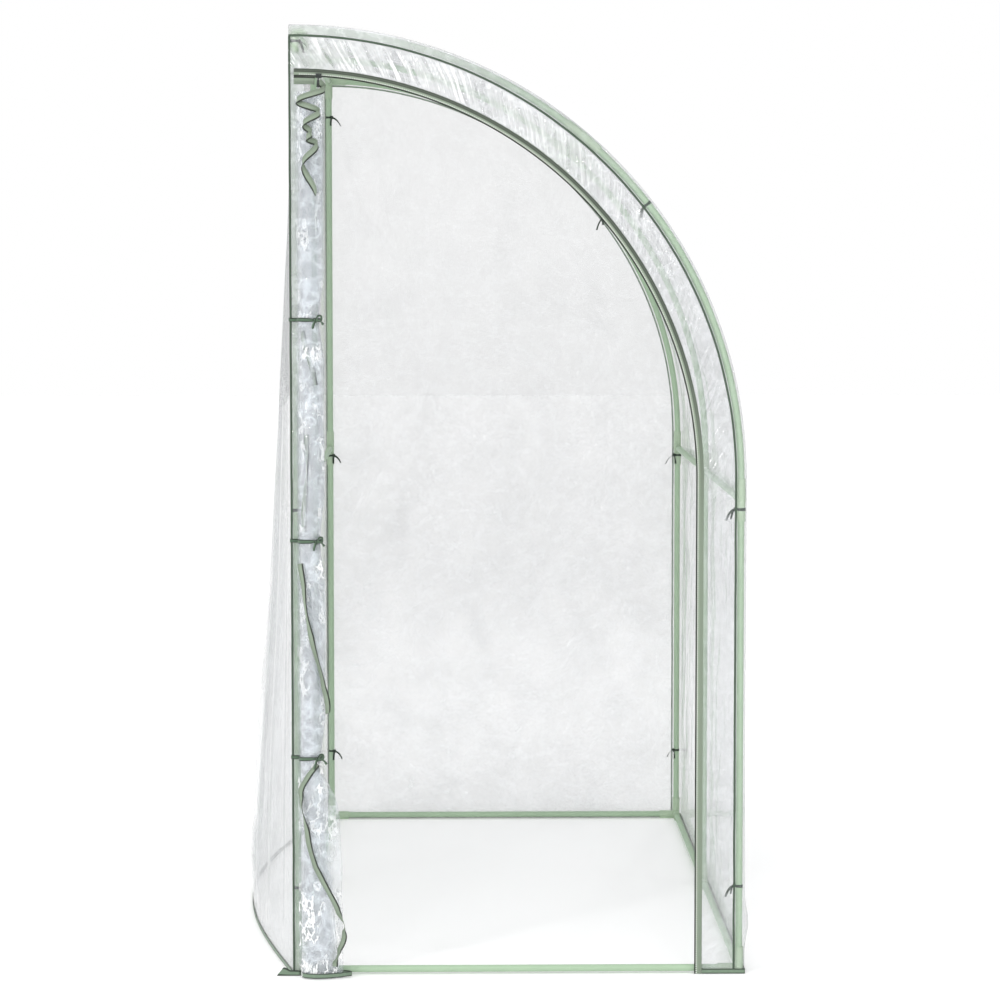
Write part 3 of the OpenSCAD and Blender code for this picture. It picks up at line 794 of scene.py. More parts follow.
def paint_of(name):
    """A paint that several pieces may share, made when it is first asked for."""
    if name not in made_paints:
        scene = bpy.context.scene
        made_paints[name] = PAINTS[name](scene.greenhouse_film, scene.greenhouse_trim)
    return made_paints[name]


# Operators

class GREENHOUSE_OT_finish_frame(bpy.types.Operator):
    """Give the tubes, connectors and zip slider their finishes"""

    bl_idname = "greenhouse.finish_frame"
    bl_label = "Finish the frame"

    def execute(self, context):
        look = context.scene.greenhouse_frame
        tube = coated_tube(look.tube)
        connector = moulded_connector(look.connector)
        slider = lacquered_slider(look.slider)
        for name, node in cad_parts.items():
            paint = tube
            if name.endswith("connector"):
                paint = connector
            elif name in ("zip_slider", "zip_pull"):
                paint = slider
            for slot in node.material_slots:
                slot.material = paint
        return {"FINISHED"}


class GREENHOUSE_OT_add_roof(bpy.types.Operator):
    """Lay the film over the front and the roof"""

    bl_idname = "greenhouse.add_roof"
    bl_label = "Roof and front film"

    def execute(self, context):
        look = context.scene.greenhouse_film
        length = arch_length(FILM_REACH, FILM_MID)
        rails = (0.012, MID_Z, RISE + FILM_REACH * PURLIN_ANGLE, RISE + FILM_REACH * math.pi / 2)
        width = 2 * END_MID

        def spot(u, v):
            """Run, place along Y, share of the roof and height of the creases."""
            run, y = v * length, (u - 0.5) * width
            roof = ease(run, MID_Z, MID_Z + 0.5)
            return run, y, roof, creases(y, run, 3.1, 2.2, blend(0.3, 0.9, roof))

        def place(u, v):
            run, y, roof, fold = spot(u, v)
            (x, z), (nx, nz) = arch_place(run, FILM_REACH)
            off_frames = ease(min(abs(y - f) for f in FRAMES_Y), 0.012, 0.2)
            off_rails = ease(min(abs(run - r) for r in rails), 0.014, 0.2)
            free = off_frames * off_rails
            dip = look.sag * free * blend(0.35, 1.0, roof)
            push = look.crease * fold * ease(free, 0.0, 0.5) - dip
            push += loose_foot(z) * math.exp(-((y + END_MID) / 0.05) ** 2)
            return Vector((x + nx * push, y, z + nz * push))

        # Painted highlight on the crests of the creases and painted shade in their dips.
        def mark(u, v):
            return 0.8 * painted_crease_light(spot(u, v)[3])

        film = sheet_of("cover_roof_film", 150, 230, (width, length), place, mark)
        thicken(film, look.thickness)
        dress(film, paint_of("cover"), replaces=("cover_roof",))
        rests_on = ["mid_arch_lower", "mid_arch_upper", "near_purlin", "far_purlin"]
        rests_on += ["near_ridge_rail", "far_ridge_rail"]
        return {"FINISHED"}


class GREENHOUSE_OT_add_wall_side(bpy.types.Operator):
    """Hang the loose film on the wall side"""

    bl_idname = "greenhouse.add_wall_side"
    bl_label = "Wall-side film"

    def execute(self, context):
        look = context.scene.greenhouse_film
        width, height = 2 * END_MID, RIDGE_Z + FILM_MID - FLOOR_GAP

        def spot(u, v):
            """Place (y, z) and height of the creases."""
            y, z = (u - 0.5) * width, FLOOR_GAP + v * height
            return y, z, creases(y, z, *WALL_CREASES)

        def place(u, v):
            y, z, fold = spot(u, v)
            swell = side_swell(y, z)
            loose = ease(swell, 0.0, 0.05) * ease(z, HEM_H, 0.12)
            push = swell + side_fold(y, z) + look.crease * fold * loose
            return Vector((-FILM_MID - max(0.0, push), y, z))

        # Painted highlight on the crests of the creases and painted shade in their dips.
        def mark(u, v):
            return 0.8 * painted_crease_light(spot(u, v)[2])

        film = sheet_of("wall_side_film", 180, 150, (width, height), place, mark)
        thicken(film, look.thickness)
        dress(film, paint_of("cover"), replaces=("cover_back",))
        return {"FINISHED"}


class GREENHOUSE_OT_add_far_end(bpy.types.Operator):
    """Close the far end with film"""

    bl_idname = "greenhouse.add_far_end"
    bl_label = "Far end film"

    def execute(self, context):
        look = context.scene.greenhouse_film
        low_share = RISE / (RISE + FILM_REACH)

        def spot(u, v):
            """Place (x, z), the film's edge at that height and the height of the creases."""
            if v < low_share:
                z, edge = FLOOR_GAP + RISE * v / low_share, FILM_REACH
            else:
                angle = math.pi / 2 * (v - low_share) / (1 - low_share)
                z, edge = SPRING_Z + FILM_REACH * math.sin(angle), FILM_REACH * math.cos(angle)
            x = blend(-FILM_MID, max(edge, 0.0), u)
            return x, z, edge, creases(x, z, *FAR_CREASES)

        def place(u, v):
            x, z, edge, fold = spot(u, v)
            inside = min(edge - x, z, SPRING_Z + FILM_REACH - z, x + FILM_MID)
            return Vector((x, END_MID + look.crease * 1.2 * fold * ease(inside, 0.03, 0.2), z))

        # Faint painted highlight on the crests of the creases and painted shade in their dips.
        def mark(u, v):
            return 0.32 * painted_crease_light(spot(u, v)[3], 0.4, 0.2)

        # Clearer, and so lighter, towards the top of the far end.
        def cling(u, v):
            return 0.62 * ease(spot(u, v)[1], 0.6, 1.9)

        film = sheet_of("far_end_film", 110, 200, (DEPTH, SPRING_Z + DEPTH), place, mark, cling)
        thicken(film, look.thickness)
        dress(film, paint_of("cover"), replaces=("cover_far_end",))
        return {"FINISHED"}


class GREENHOUSE_OT_add_door_end(bpy.types.Operator):
    """Close the door end with film round the doorway"""

    bl_idname = "greenhouse.add_door_end"
    bl_label = "Door end film"

    def execute(self, context):
        look = context.scene.greenhouse_film
        near = joined("door_end_film", [self.band(look), self.strip()], look.thickness)
        dress(near, paint_of("cover"), replaces=("door_surround",))
        return {"FINISHED"}

    def band(self, look):
        """The band between the arch and the zip, drawn into slanting puckers over the arch."""
        length = arch_length(DEPTH)
        arch_tie = (DEPTH * math.cos(ARCH_TIE_ANGLE), SPRING_Z + DEPTH * math.sin(ARCH_TIE_ANGLE))
        post_ties = [(DEPTH - 0.012, LOW_TIE_Z), (DEPTH - 0.012, MID_TIE_Z)]
        tie_spots = [*post_ties, (0.010, TOP_TIE_Z), arch_tie]

        def spot(u, v):
            """Reach from the arch's axis, run along the band and place (x, z)."""
            reach = blend(DOOR_R, FILM_REACH, u)
            (x, z), _ = arch_place(v * arch_length(reach, FILM_MID), reach)
            return reach, v * length, x, z

        def pucker(run, reach):
            """Height from -1 to 1 of the slanting puckers."""
            phase = (run + PUCKER_SLANT * (DEPTH - reach)) / PUCKER_WAVE + 3 * wobble(run * 9, reach * 4, 1.0)
            return math.sin(phase) * (0.35 + 1.1 * abs(wobble(run * 13, 4.0, 0.0)))

        def place(u, v):
            reach, run, x, z = spot(u, v)
            gap = min(reach - TAPE_R0 - TAPE_W, DEPTH - 0.022 - reach)
            free = ease(gap, 0.0, 0.014) * ease(z, 0.02, 0.12)
            puckers = look.pucker * pucker(run, reach) * blend(0.3, 1.0, ease(run, 0.9, 1.3))
            push = free * (puckers + look.crease * 0.5 * creases(reach, run, 5.5, 5.0))
            return Vector((x + loose_foot(z) * ease(u, 0.85, 1.0), -END_MID + push, z))

        # Painted light on the band: painted highlights as broken white lines along the slanting puckers,
        # painted shade between them, and a milky whitening by the zip and towards the top.
        def streak(u, v):
            reach, run, _, _ = spot(u, v)
            gap = min(reach - TAPE_R0 - TAPE_W, DEPTH - 0.014 - reach)
            slant = run + PUCKER_SLANT * (DEPTH - reach) + 0.004 * wobble(run * 12, reach * 30, 2.0)
            line = ease(1 - 5.0 * abs(wobble(slant * 85, reach * 7, 1.0)), 0.25, 0.95)
            broken = ease(wobble(run * 14, reach * 12, 6.0), -0.50, 0.0)
            painted_shade = ease(wobble(slant * 58, reach * 6, 9.0), 0.0, 0.35)
            strength = 0.12 + 0.16 * ease(run, 1.1, 1.8) + 0.50 * ease(run, 2.15, 2.45)
            milky = 0.5 * ease(run, 1.2, 2.2) * max(ease(gap, -0.004, 0.004), ease(run, 2.0, 2.5))
            return milky + ease(gap, 0.0, 0.01) * strength * (0.9 * line * broken - 0.7 * painted_shade * (1 - line))

        def cling(u, v):
            reach, run, x, z = spot(u, v)
            tied = min(math.hypot(x - tx, z - tz) for tx, tz in tie_spots)
            tight = ease(reach, DEPTH - 0.014, DEPTH - 0.009) * (1 - 0.9 * ease(run, 1.6, 2.5))
            return max(tight, 0.3 * (1 - ease(run, 0.9, 1.4)), 1 - ease(tied, 0.018, 0.034))

        return sheet_of("door_end_band", 26, 1100, (FILM_REACH - DOOR_R, length), place, streak, cling)

    def strip(self):
        """The upright strip at the wall side, which the door is sewn to."""

        def spot(u, v):
            return blend(-FILM_MID, HINGE_X, u), blend(FLOOR_GAP, SPRING_Z + DOOR_R, v)

        def place(u, v):
            x, z = spot(u, v)
            return Vector((x, -END_MID + 0.0003 * wobble(x * 60, z * 30, 0.0), z))

        # Whiter and hazier towards the top of the strip.
        def mark(u, v):
            return 0.4 * ease(spot(u, v)[1], 0.9, 1.7)

        def cling(u, v):
            x, z = spot(u, v)
            return 0.4 * (1 - ease(abs(x), 0.008, 0.011)) * (1 - ease(z, 0.9, 1.6))

        size = (HINGE_X + FILM_MID, SPRING_Z + DOOR_R)
        return sheet_of("door_end_strip", 6, 160, size, place, mark, cling)


class GREENHOUSE_OT_add_bindings(bpy.types.Operator):
    """Sew the green binding to the edges of both ends"""

    bl_idname = "greenhouse.add_bindings"
    bl_label = "Edge bindings"

    def execute(self, context):
        look = context.scene.greenhouse_trim
        level = END_OUT + look.cloth / 2
        # The far binding gets its paler colour, painted light in place of shaded tape.
        ends = (("edge_binding_tape", -1, "binding"), ("far_binding_tape", 1, "far_binding_painted_light"))
        for name, way, paint in ends:
            tape = joined(name, self.runs(way, level), look.cloth)
            dress(tape, paint_of(paint), replaces=("edge_binding",))
        return {"FINISHED"}

    def runs(self, way, level):
        """The run of tape up the front and over the arch, and the one up the wall side."""

        def arch(u, v):
            reach = BINDING_R + (u - 0.5) * BINDING_W
            (x, z), _ = arch_place(v * arch_length(reach, FILM_MID), reach)
            sway = 0.0007 * wobble(v * 31, 0.0, way)
            return Vector((x + sway, way * (level + tape_profile(u)), z))

        def upright(u, v):
            z = blend(FLOOR_GAP, SPRING_Z + BINDING_R - BINDING_W / 2, v)
            x = -FILM_OUT + 0.0003 + u * BINDING_W + 0.0006 * wobble(v * 26, 5.0, way)
            return Vector((x, way * (level + tape_profile(u)), z))

        over = sheet_of("binding_arch", 8, 420, (BINDING_W, 2.67), arch)
        return [over, sheet_of("binding_upright", 8, 240, (BINDING_W, 2.1), upright)]


class GREENHOUSE_OT_add_hems(bpy.types.Operator):
    """Sew the green hem to the lower edge of the cover"""

    bl_idname = "greenhouse.add_hems"
    bl_label = "Floor hems"

    def execute(self, context):
        look = context.scene.greenhouse_trim
        lift = look.cloth / 2 + HEM_LIFT
        front_x = DEPTH + FILM_OUT + lift
        bend = smooth_path([(x, y, 0) for x, y in HEM_CORNER], 6)

        def level(u):
            return blend(FLOOR_GAP, FLOOR_GAP + HEM_H, u)

        def corner(u, v):
            spot = bend[round(v * (len(bend) - 1))]
            tip = ease(-spot.x, 0.014, 0.048)
            return Vector((spot.x + 0.015 * u * tip, spot.y, level(u) + 0.0075 * u * tip))

        def wall(u, v):
            y = blend(-END_MID, END_MID, v)
            return Vector((-FILM_OUT - side_swell(y, level(u)) - lift - tape_profile(u), y, level(u)))

        def front(u, v):
            return Vector((front_x + tape_profile(u), blend(-END_OUT, END_OUT, v), level(u)))

        def across(x0, x1, way):
            def place(u, v):
                return Vector((blend(x0, x1, v), way * (END_OUT + lift + tape_profile(u)), level(u)))
            return place

        runs = [
            (corner, len(bend) - 1, 0.094),
            (wall, 200, 2.06),
            (front, 120, 2.02),
            (across(-FILM_OUT, DEPTH + FILM_OUT, 1), 60, 1.02),
            (across(TAPE_R0 + TAPE_W + 0.0005, DEPTH + FILM_OUT, -1), 12, 0.1),
            (across(-FILM_OUT - 0.002, SEAM_X - 0.001, -1), 6, 0.02),
        ]
        parts = [sheet_of("hem_run", 6, rows, (HEM_H, length), place) for place, rows, length in runs]
        hem = joined("floor_hem_tape", parts, look.cloth)
        dress(hem, paint_of("hem"), replaces=("floor_hem",))
        return {"FINISHED"}


class GREENHOUSE_OT_add_zip(bpy.types.Operator):
    """Sew the zip's fixed tape and its teeth round the doorway"""

    bl_idname = "greenhouse.add_zip"
    bl_label = "Zip tape and teeth"

    def execute(self, context):
        look = context.scene.greenhouse_trim
        tape = joined("zip_tape_woven", self.tapes(), look.cloth)
        dress(tape, paint_of("tape"), replaces=("zip_tape",))
        teeth = self.teeth(look.tooth_pitch)
        context.scene.collection.objects.link(teeth)
        dress(teeth, paint_of("teeth"), replaces=("zip_tape",))
        return {"FINISHED"}

    def tapes(self):
        """The tape round the doorway, and the short length of the other tape where the zip is closed."""
        closed_angle = math.pi / 2 - math.acos(min(1.0, CLOSED_X / TAPE_R0))

        def profile(u):
            cord = 0.0005 * math.exp(-((u - 0.07) / 0.06) ** 2)
            fold = 0.0003 * ease(u, 0.55, 0.62) * (1 - ease(u, 0.95, 1.0))
            return cord + fold

        def open_tape(u, v):
            reach = TAPE_R0 + u * TAPE_W
            (x, z), _ = arch_place(v * arch_length(reach), reach)
            return Vector((x, TAPE_Y - profile(u), z))

        def closed_tape(u, v):
            reach = TAPE_R0 - 0.0004 - u * TAPE_W
            angle = math.pi / 2 - closed_angle * (1 - v)
            return Vector((reach * math.cos(angle), TAPE_Y - profile(u), SPRING_Z + reach * math.sin(angle)))

        return [
            sheet_of("open_tape", 16, 620, (TAPE_W, arch_length(TAPE_R0)), open_tape),
            sheet_of("closed_tape", 16, 16, (TAPE_W, TAPE_R0 * closed_angle), closed_tape),
        ]

    def tooth(self):
        """One moulded tooth: a block with a bevelled rim, narrower at its head."""
        start_piece()
        bpy.ops.mesh.primitive_cube_add(size=1)
        tooth = bpy.context.object
        tooth.scale = TOOTH
        bpy.ops.object.transform_apply(location=False, rotation=False, scale=True)
        bpy.ops.object.mode_set(mode="EDIT")
        bpy.ops.mesh.select_all(action="DESELECT")
        work = bmesh.from_edit_mesh(tooth.data)
        for face in work.faces:
            face.select = face.normal.x < -0.9
        bmesh.update_edit_mesh(tooth.data)
        bpy.ops.transform.resize(value=(1, 0.8, 0.6))
        bpy.ops.mesh.select_all(action="SELECT")
        bpy.ops.mesh.bevel(offset=0.00025, segments=1, affect="EDGES")
        bpy.ops.object.mode_set(mode="OBJECT")
        return tooth

    def teeth(self, pitch):
        """The row of teeth along the tape, copied from one."""
        tooth = self.tooth()
        row = bmesh.new()
        for k in range(int(arch_length(TAPE_R0) / pitch)):
            (x, z), (nx, nz) = arch_place((k + 0.5) * pitch, TEETH_R)
            turn = Matrix(((nx, 0, -nz, x), (0, 1, 0, TEETH_Y), (nz, 0, nx, z), (0, 0, 0, 1)))
            first = len(row.verts)
            row.from_mesh(tooth.data)
            row.verts.ensure_lookup_table()
            for vert in row.verts[first:]:
                vert.co = turn @ vert.co
        mesh = bpy.data.meshes.new("zip_teeth")
        row.to_mesh(mesh)
        row.free()
        bpy.data.objects.remove(tooth)
        return bpy.data.objects.new("zip_teeth", mesh)


class GREENHOUSE_OT_add_ties(bpy.types.Operator):
    """Tie the cover to both end frames"""

    bl_idname = "greenhouse.add_ties"
    bl_label = "Cover ties"

    def execute(self, context):
        parts = []
        seed = 1.0
        for way in (1, -1):
            for centre, axis, inward, radius in self.places(way):
                seed += 1.37
                parts += self.tie(centre, axis, inward, radius, seed)
        ties = joined("cover_tie_ribbons", parts)
        dress(ties, paint_of("ribbon"), replaces=("cover_ties",))

        roots = []
        for z in STRAP_Z:
            path = smooth_path([(x, y, z) for x, y in STRAP_ROOT], 8)
            facing = [Vector((-0.8, -0.6, 0)) if p.x < -0.0132 else Vector((0, -1, 0)) for p in path]
            roots.append(ribbon_along(path, facing, STRAP_W * 0.5, 0.0006, curl=0.0002))
        dress(joined("strap_root_ribbons", roots), paint_of("strap"))
        return {"FINISHED"}

    def places(self, way):
        """Centre, axis, inward direction and radius of each tie at the door end (1) or the far end (-1)."""
        y = -way * LENGTH / 2
        aside = 0.45 if way > 0 else -1
        top_z, top_radius = (TOP_TIE_Z, SLEEVE_R) if way > 0 else (FAR_TOP_TIE_Z, TUBE_R)
        from_wall = Vector((1, aside, 0)).normalized()
        from_front = Vector((-1, aside, 0)).normalized()
        c, s = math.cos(ARCH_TIE_ANGLE), math.sin(ARCH_TIE_ANGLE)
        from_arch = Vector((-c, aside, -s)).normalized()
        on_arch = Vector((DEPTH * c, y, SPRING_Z + DEPTH * s))
        return [
            (Vector((0, y, LOW_TIE_Z)), UP, from_wall, TUBE_R),
            (Vector((0, y, MID_TIE_Z)), UP, from_wall, SLEEVE_R),
            (Vector((DEPTH, y, LOW_TIE_Z)), UP, from_front, TUBE_R),
            (Vector((DEPTH, y, MID_TIE_Z)), UP, from_front, SLEEVE_R),
            (Vector((0, y, top_z)), UP, from_wall, top_radius),
            (on_arch, Vector((-s, 0, c)), from_arch, TUBE_R),
        ]

    def tie(self, centre, axis, inward, radius, seed):
        """A ribbon tied round a tube: the loop, its knot on the inside and two tails."""
        side = axis.cross(inward).normalized()
        loop_r = radius + 0.00045

        def loop(u, v):
            a = 2 * math.pi * v
            out = (inward * math.cos(a) + side * math.sin(a)) * (loop_r + 0.0002 * math.cos(6 * a))
            return centre + out + axis * (u - 0.5) * TIE_W * (1 - 0.2 * math.cos(a))

        band = sheet_of("tie_band", 4, 36, (TIE_W, 2 * math.pi * loop_r), loop)
        weld(band)
        thicken(band, 0.0005)
        knot_at = centre + inward * (loop_r + 0.0028)
        parts = [band, trefoil_knot(knot_at, (side, axis, inward), 0.0048, 0.0017)]
        for way in (-1, 1):
            length = 0.034 + 0.010 * wobble(seed, way, 0.3)
            sway = 0.5 * wobble(seed * 3.3, way, 1.7)
            heading = (side * way * 0.7 + inward * 0.6).normalized()
            pull = Vector((0, 0, -0.42)) + side * sway * 0.3
            path = smooth_path(loose_end(knot_at, heading, pull, length, 4), 4)
            facing = []
            for k in range(len(path)):
                twist = way * (0.2 + 0.5 * k / len(path)) + sway - 0.4
                facing.append(side * math.cos(twist) + inward * math.sin(twist))
            parts.append(ribbon_along(path, facing, TIE_W * 0.9, 0.0006, curl=0.0003))
        return parts


class GREENHOUSE_OT_add_door(bpy.types.Operator):
    """Gather the door film in its bundle beside the wall-side post, with its tape, hem and straps"""

    bl_idname = "greenhouse.add_door"
    bl_label = "Gathered door"

    def execute(self, context):
        look, trim = context.scene.greenhouse_film, context.scene.greenhouse_trim
        bundle = self.bundle(context.scene.greenhouse_door)
        thicken(bundle, look.thickness)
        dress(bundle, paint_of("door"), "gathered_door", ("door_film",))

        tapes = joined("door_tape_woven", self.tapes(trim.cloth))
        dress(tapes, paint_of("tape"), "gathered_door", ("door_binding",), paint_of("darker_back_and_shade"))

        hem = self.hem()
        weld(hem)
        thicken(hem, trim.cloth)
        dress(hem, paint_of("hem"), "gathered_door", ("door_binding",))

        straps = joined("door_strap_ribbons", self.straps())
        dress(straps, paint_of("strap"), "gathered_door", ("door_straps",))
        return {"FINISHED"}

    def bundle(self, door):
        """The film, wound inwards from the seam, drawn in at the straps and loose at its foot."""
        height = BUNDLE_Z1 - BUNDLE_Z0

        def place(u, v):
            z = BUNDLE_Z0 + v * height
            full = fullness(z)
            rx, ry = bundle_half(z)
            angle = BUNDLE_START + 2 * math.pi * door.turns * u
            drift = 1.4 * wobble(z * 2.1, 0.0, 9.0) + z * 1.3
            folds = 0.5 + 0.5 * math.sin(door.folds * angle + drift + 2.2 * u)
            pleats = 0.5 + 0.5 * math.sin(19 * angle + 5 * wobble(z * 14, u * 3, 2.0))
            depth = door.fold_depth * (0.35 + 0.65 * full) * folds + 0.09 * (1 - full) * pleats
            dent = 0.13 * full * max(0.0, wobble(math.cos(angle) * 1.1 + u, math.sin(angle) * 1.1, z * 7))
            r = (1 - 0.60 * u) * (1 - depth - dent)
            loose = flap(z) * max(0.0, math.cos(angle)) * (1 - ease(u, 0.10, 0.32))
            centre = Vector((SEAM_X + rx, BUNDLE_BACK - ry, z))
            spot = centre + Vector((rx * r * math.cos(angle) + loose, ry * r * math.sin(angle), 0))
            return Vector((*SEAM, z)).lerp(spot, ease(u, 0.0, 0.025))

        # Where the door film is given painted glints: strongest on the outer turn, just below the straps and
        # near the foot; painted shade in broad dips.
        def streak(u, v):
            z, angle = BUNDLE_Z0 + v * height, 2 * math.pi * door.turns * u
            below = min((s - z for s in STRAP_Z if s > z), default=1.0)
            zone = max(0.45, 1 - ease(below, 0.05, 0.12), 1 - ease(z, 0.12, 0.30))
            painted_shade = ease(wobble(angle * 0.9, z * 3.0, 5.0), 0.12, 0.45)
            return (zone - 1.3 * painted_shade) * (1 if u < 1.2 / door.turns else 0.3)

        return sheet_of("door_bundle_film", 260, 180, (0.882, height), place, streak)

    def tapes(self, cloth):
        """The door's own half of the zip tape: the curl at the top, and where it shows further down."""
        trails = ((LONG_TRAIL, 1.0, 0.0016), (LOW_TRAIL, 2.0, 0.0016))
        trails += ((INNER_TRAIL, 3.0, -0.0090), (HIDDEN_TRAIL, 4.0, -0.0080))
        parts = [ribbon_along(*self.curl(), 0.0145, cloth, 8, 0.0010, True)]
        for trail, seed, lift in trails:
            parts.append(ribbon_along(*self.trail(trail, seed, lift), 0.0125, cloth, 8, 0.0008, True))
        return parts

    def curl(self):
        """Path and facing of the curl, which swings to and fro before the bundle and turns over each time."""
        steps = 14
        path, facing = [], []
        for k in range((len(CURL) - 1) * steps + 1):
            i = min(len(CURL) - 2, k // steps)
            t = k / steps - i
            (x0, z0), (x1, z1) = CURL[i], CURL[i + 1]
            x, z = blend(x0, x1, (1 - math.cos(math.pi * t)) / 2), blend(z0, z1, t)
            rx, ry = bundle_half(z)
            aside = min(1.0, abs(x - SEAM_X - rx) / (rx * 1.05))
            surface = BUNDLE_BACK - ry - ry * math.sqrt(1 - aside * aside * 0.95)
            phase = math.pi * (k / steps - 1)
            path.append(Vector((x, surface - 0.0072 - 0.0052 * math.sin(phase), z)))
            turned = math.copysign(abs(math.sin(phase)) ** 0.6, math.sin(phase))
            facing.append(Vector((0.8 * math.cos(phase), -turned, 0.15)).normalized())
        return path, facing

    def trail(self, trail, seed, lift):
        """Path and facing of a length of tape on the bundle, or inside it where the lift is below 0."""
        path, facing = [], []
        for k, p in enumerate(smooth_path([(angle, z * 1000, 0) for angle, z in trail], 12)):
            a, z = math.radians(p.x), p.y / 1000
            rx, ry = bundle_half(z)
            out = Vector((math.cos(a) / rx, math.sin(a) / ry, 0)).normalized()
            twist = 0.75 * math.sin(k * 0.21 + seed * 2.1)
            path.append(on_bundle(p.x, z, lift + 0.0050 * abs(math.sin(twist)) * (lift > 0)))
            facing.append(out * math.cos(twist) + Vector((-math.sin(a), math.cos(a), 0)) * math.sin(twist))
        return path, facing

    def hem(self):
        """The hem at the foot: one flattened loop, whose folded end sticks out into the doorway."""
        line = []
        for side in (DOOR_HEM_FRONT, DOOR_HEM_BACK):
            line += smooth_path([(x, y, 0) for x, y in side], 14)
        line.append(line[0])

        def place(u, v):
            spot = line[round(v * (len(line) - 1))]
            wave = 0.0010 * wobble(v * 9, 3.0, 0)
            lift = 0.0012 + 0.0012 * abs(wobble(v * 7, 8.0, 0))
            return Vector((spot.x, spot.y + wave - tape_profile(u), BUNDLE_Z0 + lift + u * HEM_H))

        return sheet_of("door_hem_tape", 6, len(line) - 1, (HEM_H, 0.27), place)

    def straps(self):
        """Three straps round the waists, each knotted at the front with a bow and two tails."""
        parts = []
        out, side = Vector((0.45, -0.89, 0)), Vector((0.89, 0.45, 0))
        bow = ((0, 0), (0.6, 0.9), (1.3, 0.8), (1.3, 0.0), (0.5, -0.2), (0, 0))
        for z, slope, reach in zip(STRAP_Z, (0.05, 0.02, -0.03), (0.026, 0.022, 0.022)):
            knot_at = on_bundle(KNOT_ANGLE, z, 0.0035)
            parts += [self.strap_band(z, slope), trefoil_knot(knot_at, (side, UP, out), 0.0050, 0.0017)]
            path = smooth_path([knot_at + 0.010 * (side * a + UP * b) + out * 0.002 for a, b in bow], 5)
            parts.append(ribbon_along(path, [out] * len(path), 0.0045, 0.0006, curl=0.0003))
            for way in (-1, 1):
                heading = (side * way * 0.6 + out * 0.35 + Vector((0, 0, 0.35 * way))).normalized()
                path = smooth_path(loose_end(knot_at, heading, Vector((0, 0.05, -0.38)), reach, 5), 4)
                facing = [out + side * math.sin(k * 0.18) * way + UP * 0.3 for k in range(len(path))]
                facing = [f.normalized() for f in facing]
                parts.append(ribbon_along(path, facing, 0.0055, 0.0006, curl=0.0004))
        return parts

    def strap_band(self, z, slope):
        """The part of a strap that goes round the bundle, narrower at its knot."""

        def loop(u, v):
            angle = 360 * v + KNOT_ANGLE
            spot = on_bundle(angle, z, 0.0011 + 0.0003 * math.sin(math.radians(angle * 5)))
            narrow = 1 - sum(0.35 * math.exp(-((v - end) * 14) ** 2) for end in (0.0, 1.0))
            return spot + UP * ((u - 0.5) * BAND_W * narrow + slope * (spot.x - SEAM_X - WAIST_RX))

        band = sheet_of("strap_band", 6, 90, (BAND_W, 0.14), loop)
        weld(band)
        thicken(band, 0.0007)
        return band


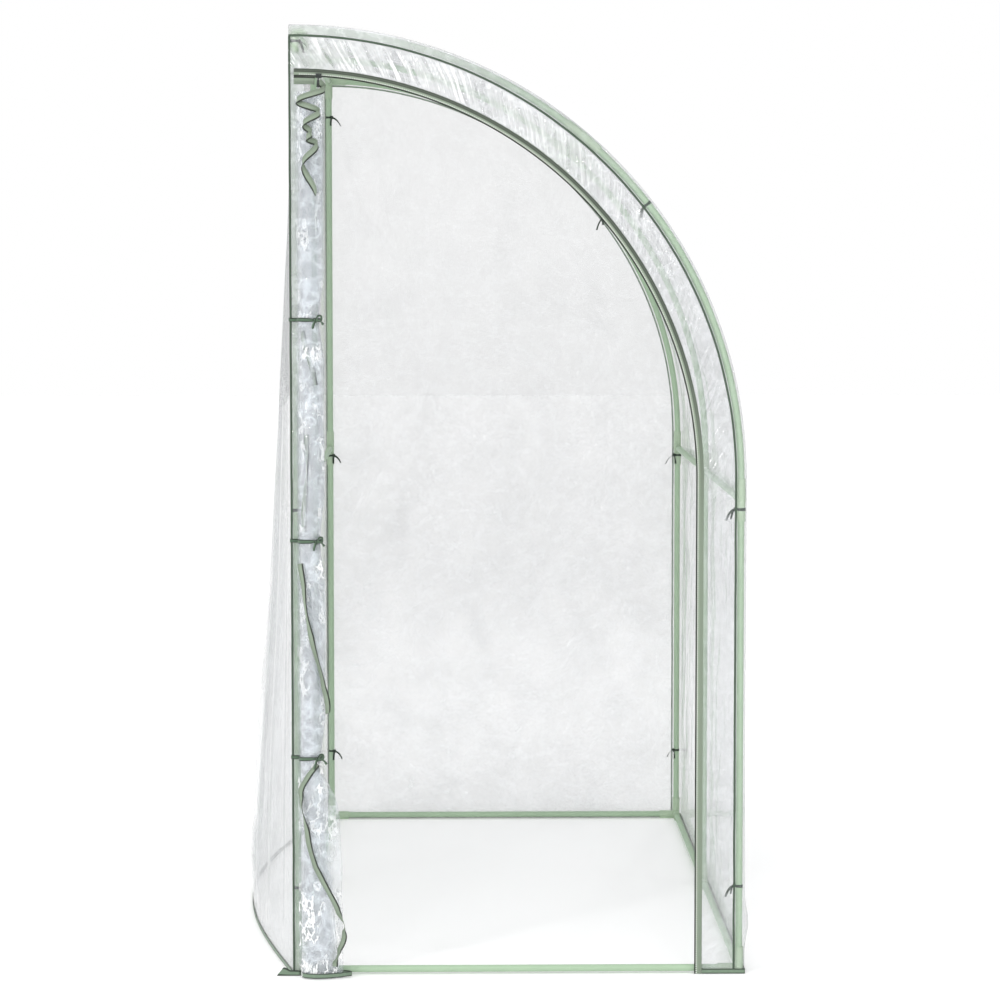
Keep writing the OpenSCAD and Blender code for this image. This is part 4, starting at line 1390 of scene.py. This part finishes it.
class GREENHOUSE_OT_set_stage(bpy.types.Operator):
    """Set up the floor, the soft light and the camera"""

    bl_idname = "greenhouse.set_stage"
    bl_label = "Studio stage"

    def execute(self, context):
        look = context.scene.greenhouse_stage
        start_piece()
        bpy.ops.mesh.primitive_plane_add(size=60)
        floor = context.object
        floor.name = "studio_floor"
        floor.data.materials.append(studio_floor(look.floor))

        world = bpy.data.worlds.new("studio")
        context.scene.world = world
        world.use_nodes = True
        self.light_sky(world.node_tree, look.sky)
        for name, place, target, size, share in LAMPS:
            light = bpy.data.lights.new(name, "AREA")
            light.shape = "RECTANGLE"
            light.size, light.size_y = size
            light.energy = look.key * share
            lamp = bpy.data.objects.new(name, light)
            lamp.location = place
            lamp.rotation_euler = (Vector(target) - Vector(place)).to_track_quat("-Z", "Y").to_euler()
            context.scene.collection.objects.link(lamp)

        camera = bpy.data.cameras.new("photo_camera")
        camera.lens = CAMERA_LENS
        camera.sensor_width = CAMERA_SENSOR
        eye = bpy.data.objects.new("photo_camera", camera)
        eye.location = CAMERA_PLACE
        eye.rotation_euler = [math.radians(angle) for angle in CAMERA_TURN]
        context.scene.collection.objects.link(eye)
        context.scene.camera = eye
        context.scene.view_settings.view_transform = "Standard"
        context.scene.cycles.transparent_max_bounces = 64
        return {"FINISHED"}

    def light_sky(self, tree, strength):
        """White behind the object, lit brightest from the upper left and dimmest from the lower right."""
        sky = Nodes(tree)
        way = sky.node("ShaderNodeTexCoord", output="Generated")
        towards = {0: way, 1: (-0.62, -0.25, 0.74)}
        slant = sky.node("ShaderNodeVectorMath", {"operation": "DOT_PRODUCT"}, towards, "Value")
        seen = sky.node("ShaderNodeLightPath", output="Is Camera Ray")
        level = sky.node("ShaderNodeMix", None, {0: seen, 2: slant * 0.7 + strength, 3: 1.0})
        white = sky.node("ShaderNodeBackground", None, {"Color": (1, 1, 1, 1), "Strength": level})
        sky.node("ShaderNodeOutputWorld", None, {"Surface": white})


class GREENHOUSE_PT_panel(bpy.types.Panel):
    """Lists the operators that dress the greenhouse"""

    bl_idname = "GREENHOUSE_PT_panel"
    bl_label = "Lean-to greenhouse"
    bl_space_type = "VIEW_3D"
    bl_region_type = "UI"
    bl_category = "Greenhouse"

    def draw(self, context):
        for operator in OPERATORS:
            self.layout.operator(operator.bl_idname)


OPERATORS = (
    GREENHOUSE_OT_set_stage,
    GREENHOUSE_OT_finish_frame,
    GREENHOUSE_OT_add_roof,
    GREENHOUSE_OT_add_wall_side,
    GREENHOUSE_OT_add_far_end,
    GREENHOUSE_OT_add_door_end,
    GREENHOUSE_OT_add_bindings,
    GREENHOUSE_OT_add_hems,
    GREENHOUSE_OT_add_zip,
    GREENHOUSE_OT_add_ties,
    GREENHOUSE_OT_add_door,
)
GROUPS = {
    "greenhouse_frame": FrameFinish,
    "greenhouse_film": FilmLook,
    "greenhouse_trim": TrimLook,
    "greenhouse_door": DoorLook,
    "greenhouse_stage": StageLook,
}


def register():
    for group in GROUPS.values():
        bpy.utils.register_class(group)
    for name, group in GROUPS.items():
        setattr(bpy.types.Scene, name, PointerProperty(type=group))
    for operator in OPERATORS:
        bpy.utils.register_class(operator)
    bpy.utils.register_class(GREENHOUSE_PT_panel)


def unregister():
    bpy.utils.unregister_class(GREENHOUSE_PT_panel)
    for operator in reversed(OPERATORS):
        bpy.utils.unregister_class(operator)
    for name in GROUPS:
        delattr(bpy.types.Scene, name)
    for group in reversed(GROUPS.values()):
        bpy.utils.unregister_class(group)


def main():
    register()
    for operator in OPERATORS:
        area, name = operator.bl_idname.split(".")
        getattr(getattr(bpy.ops, area), name)()


if __name__ == "__main__":
    main()
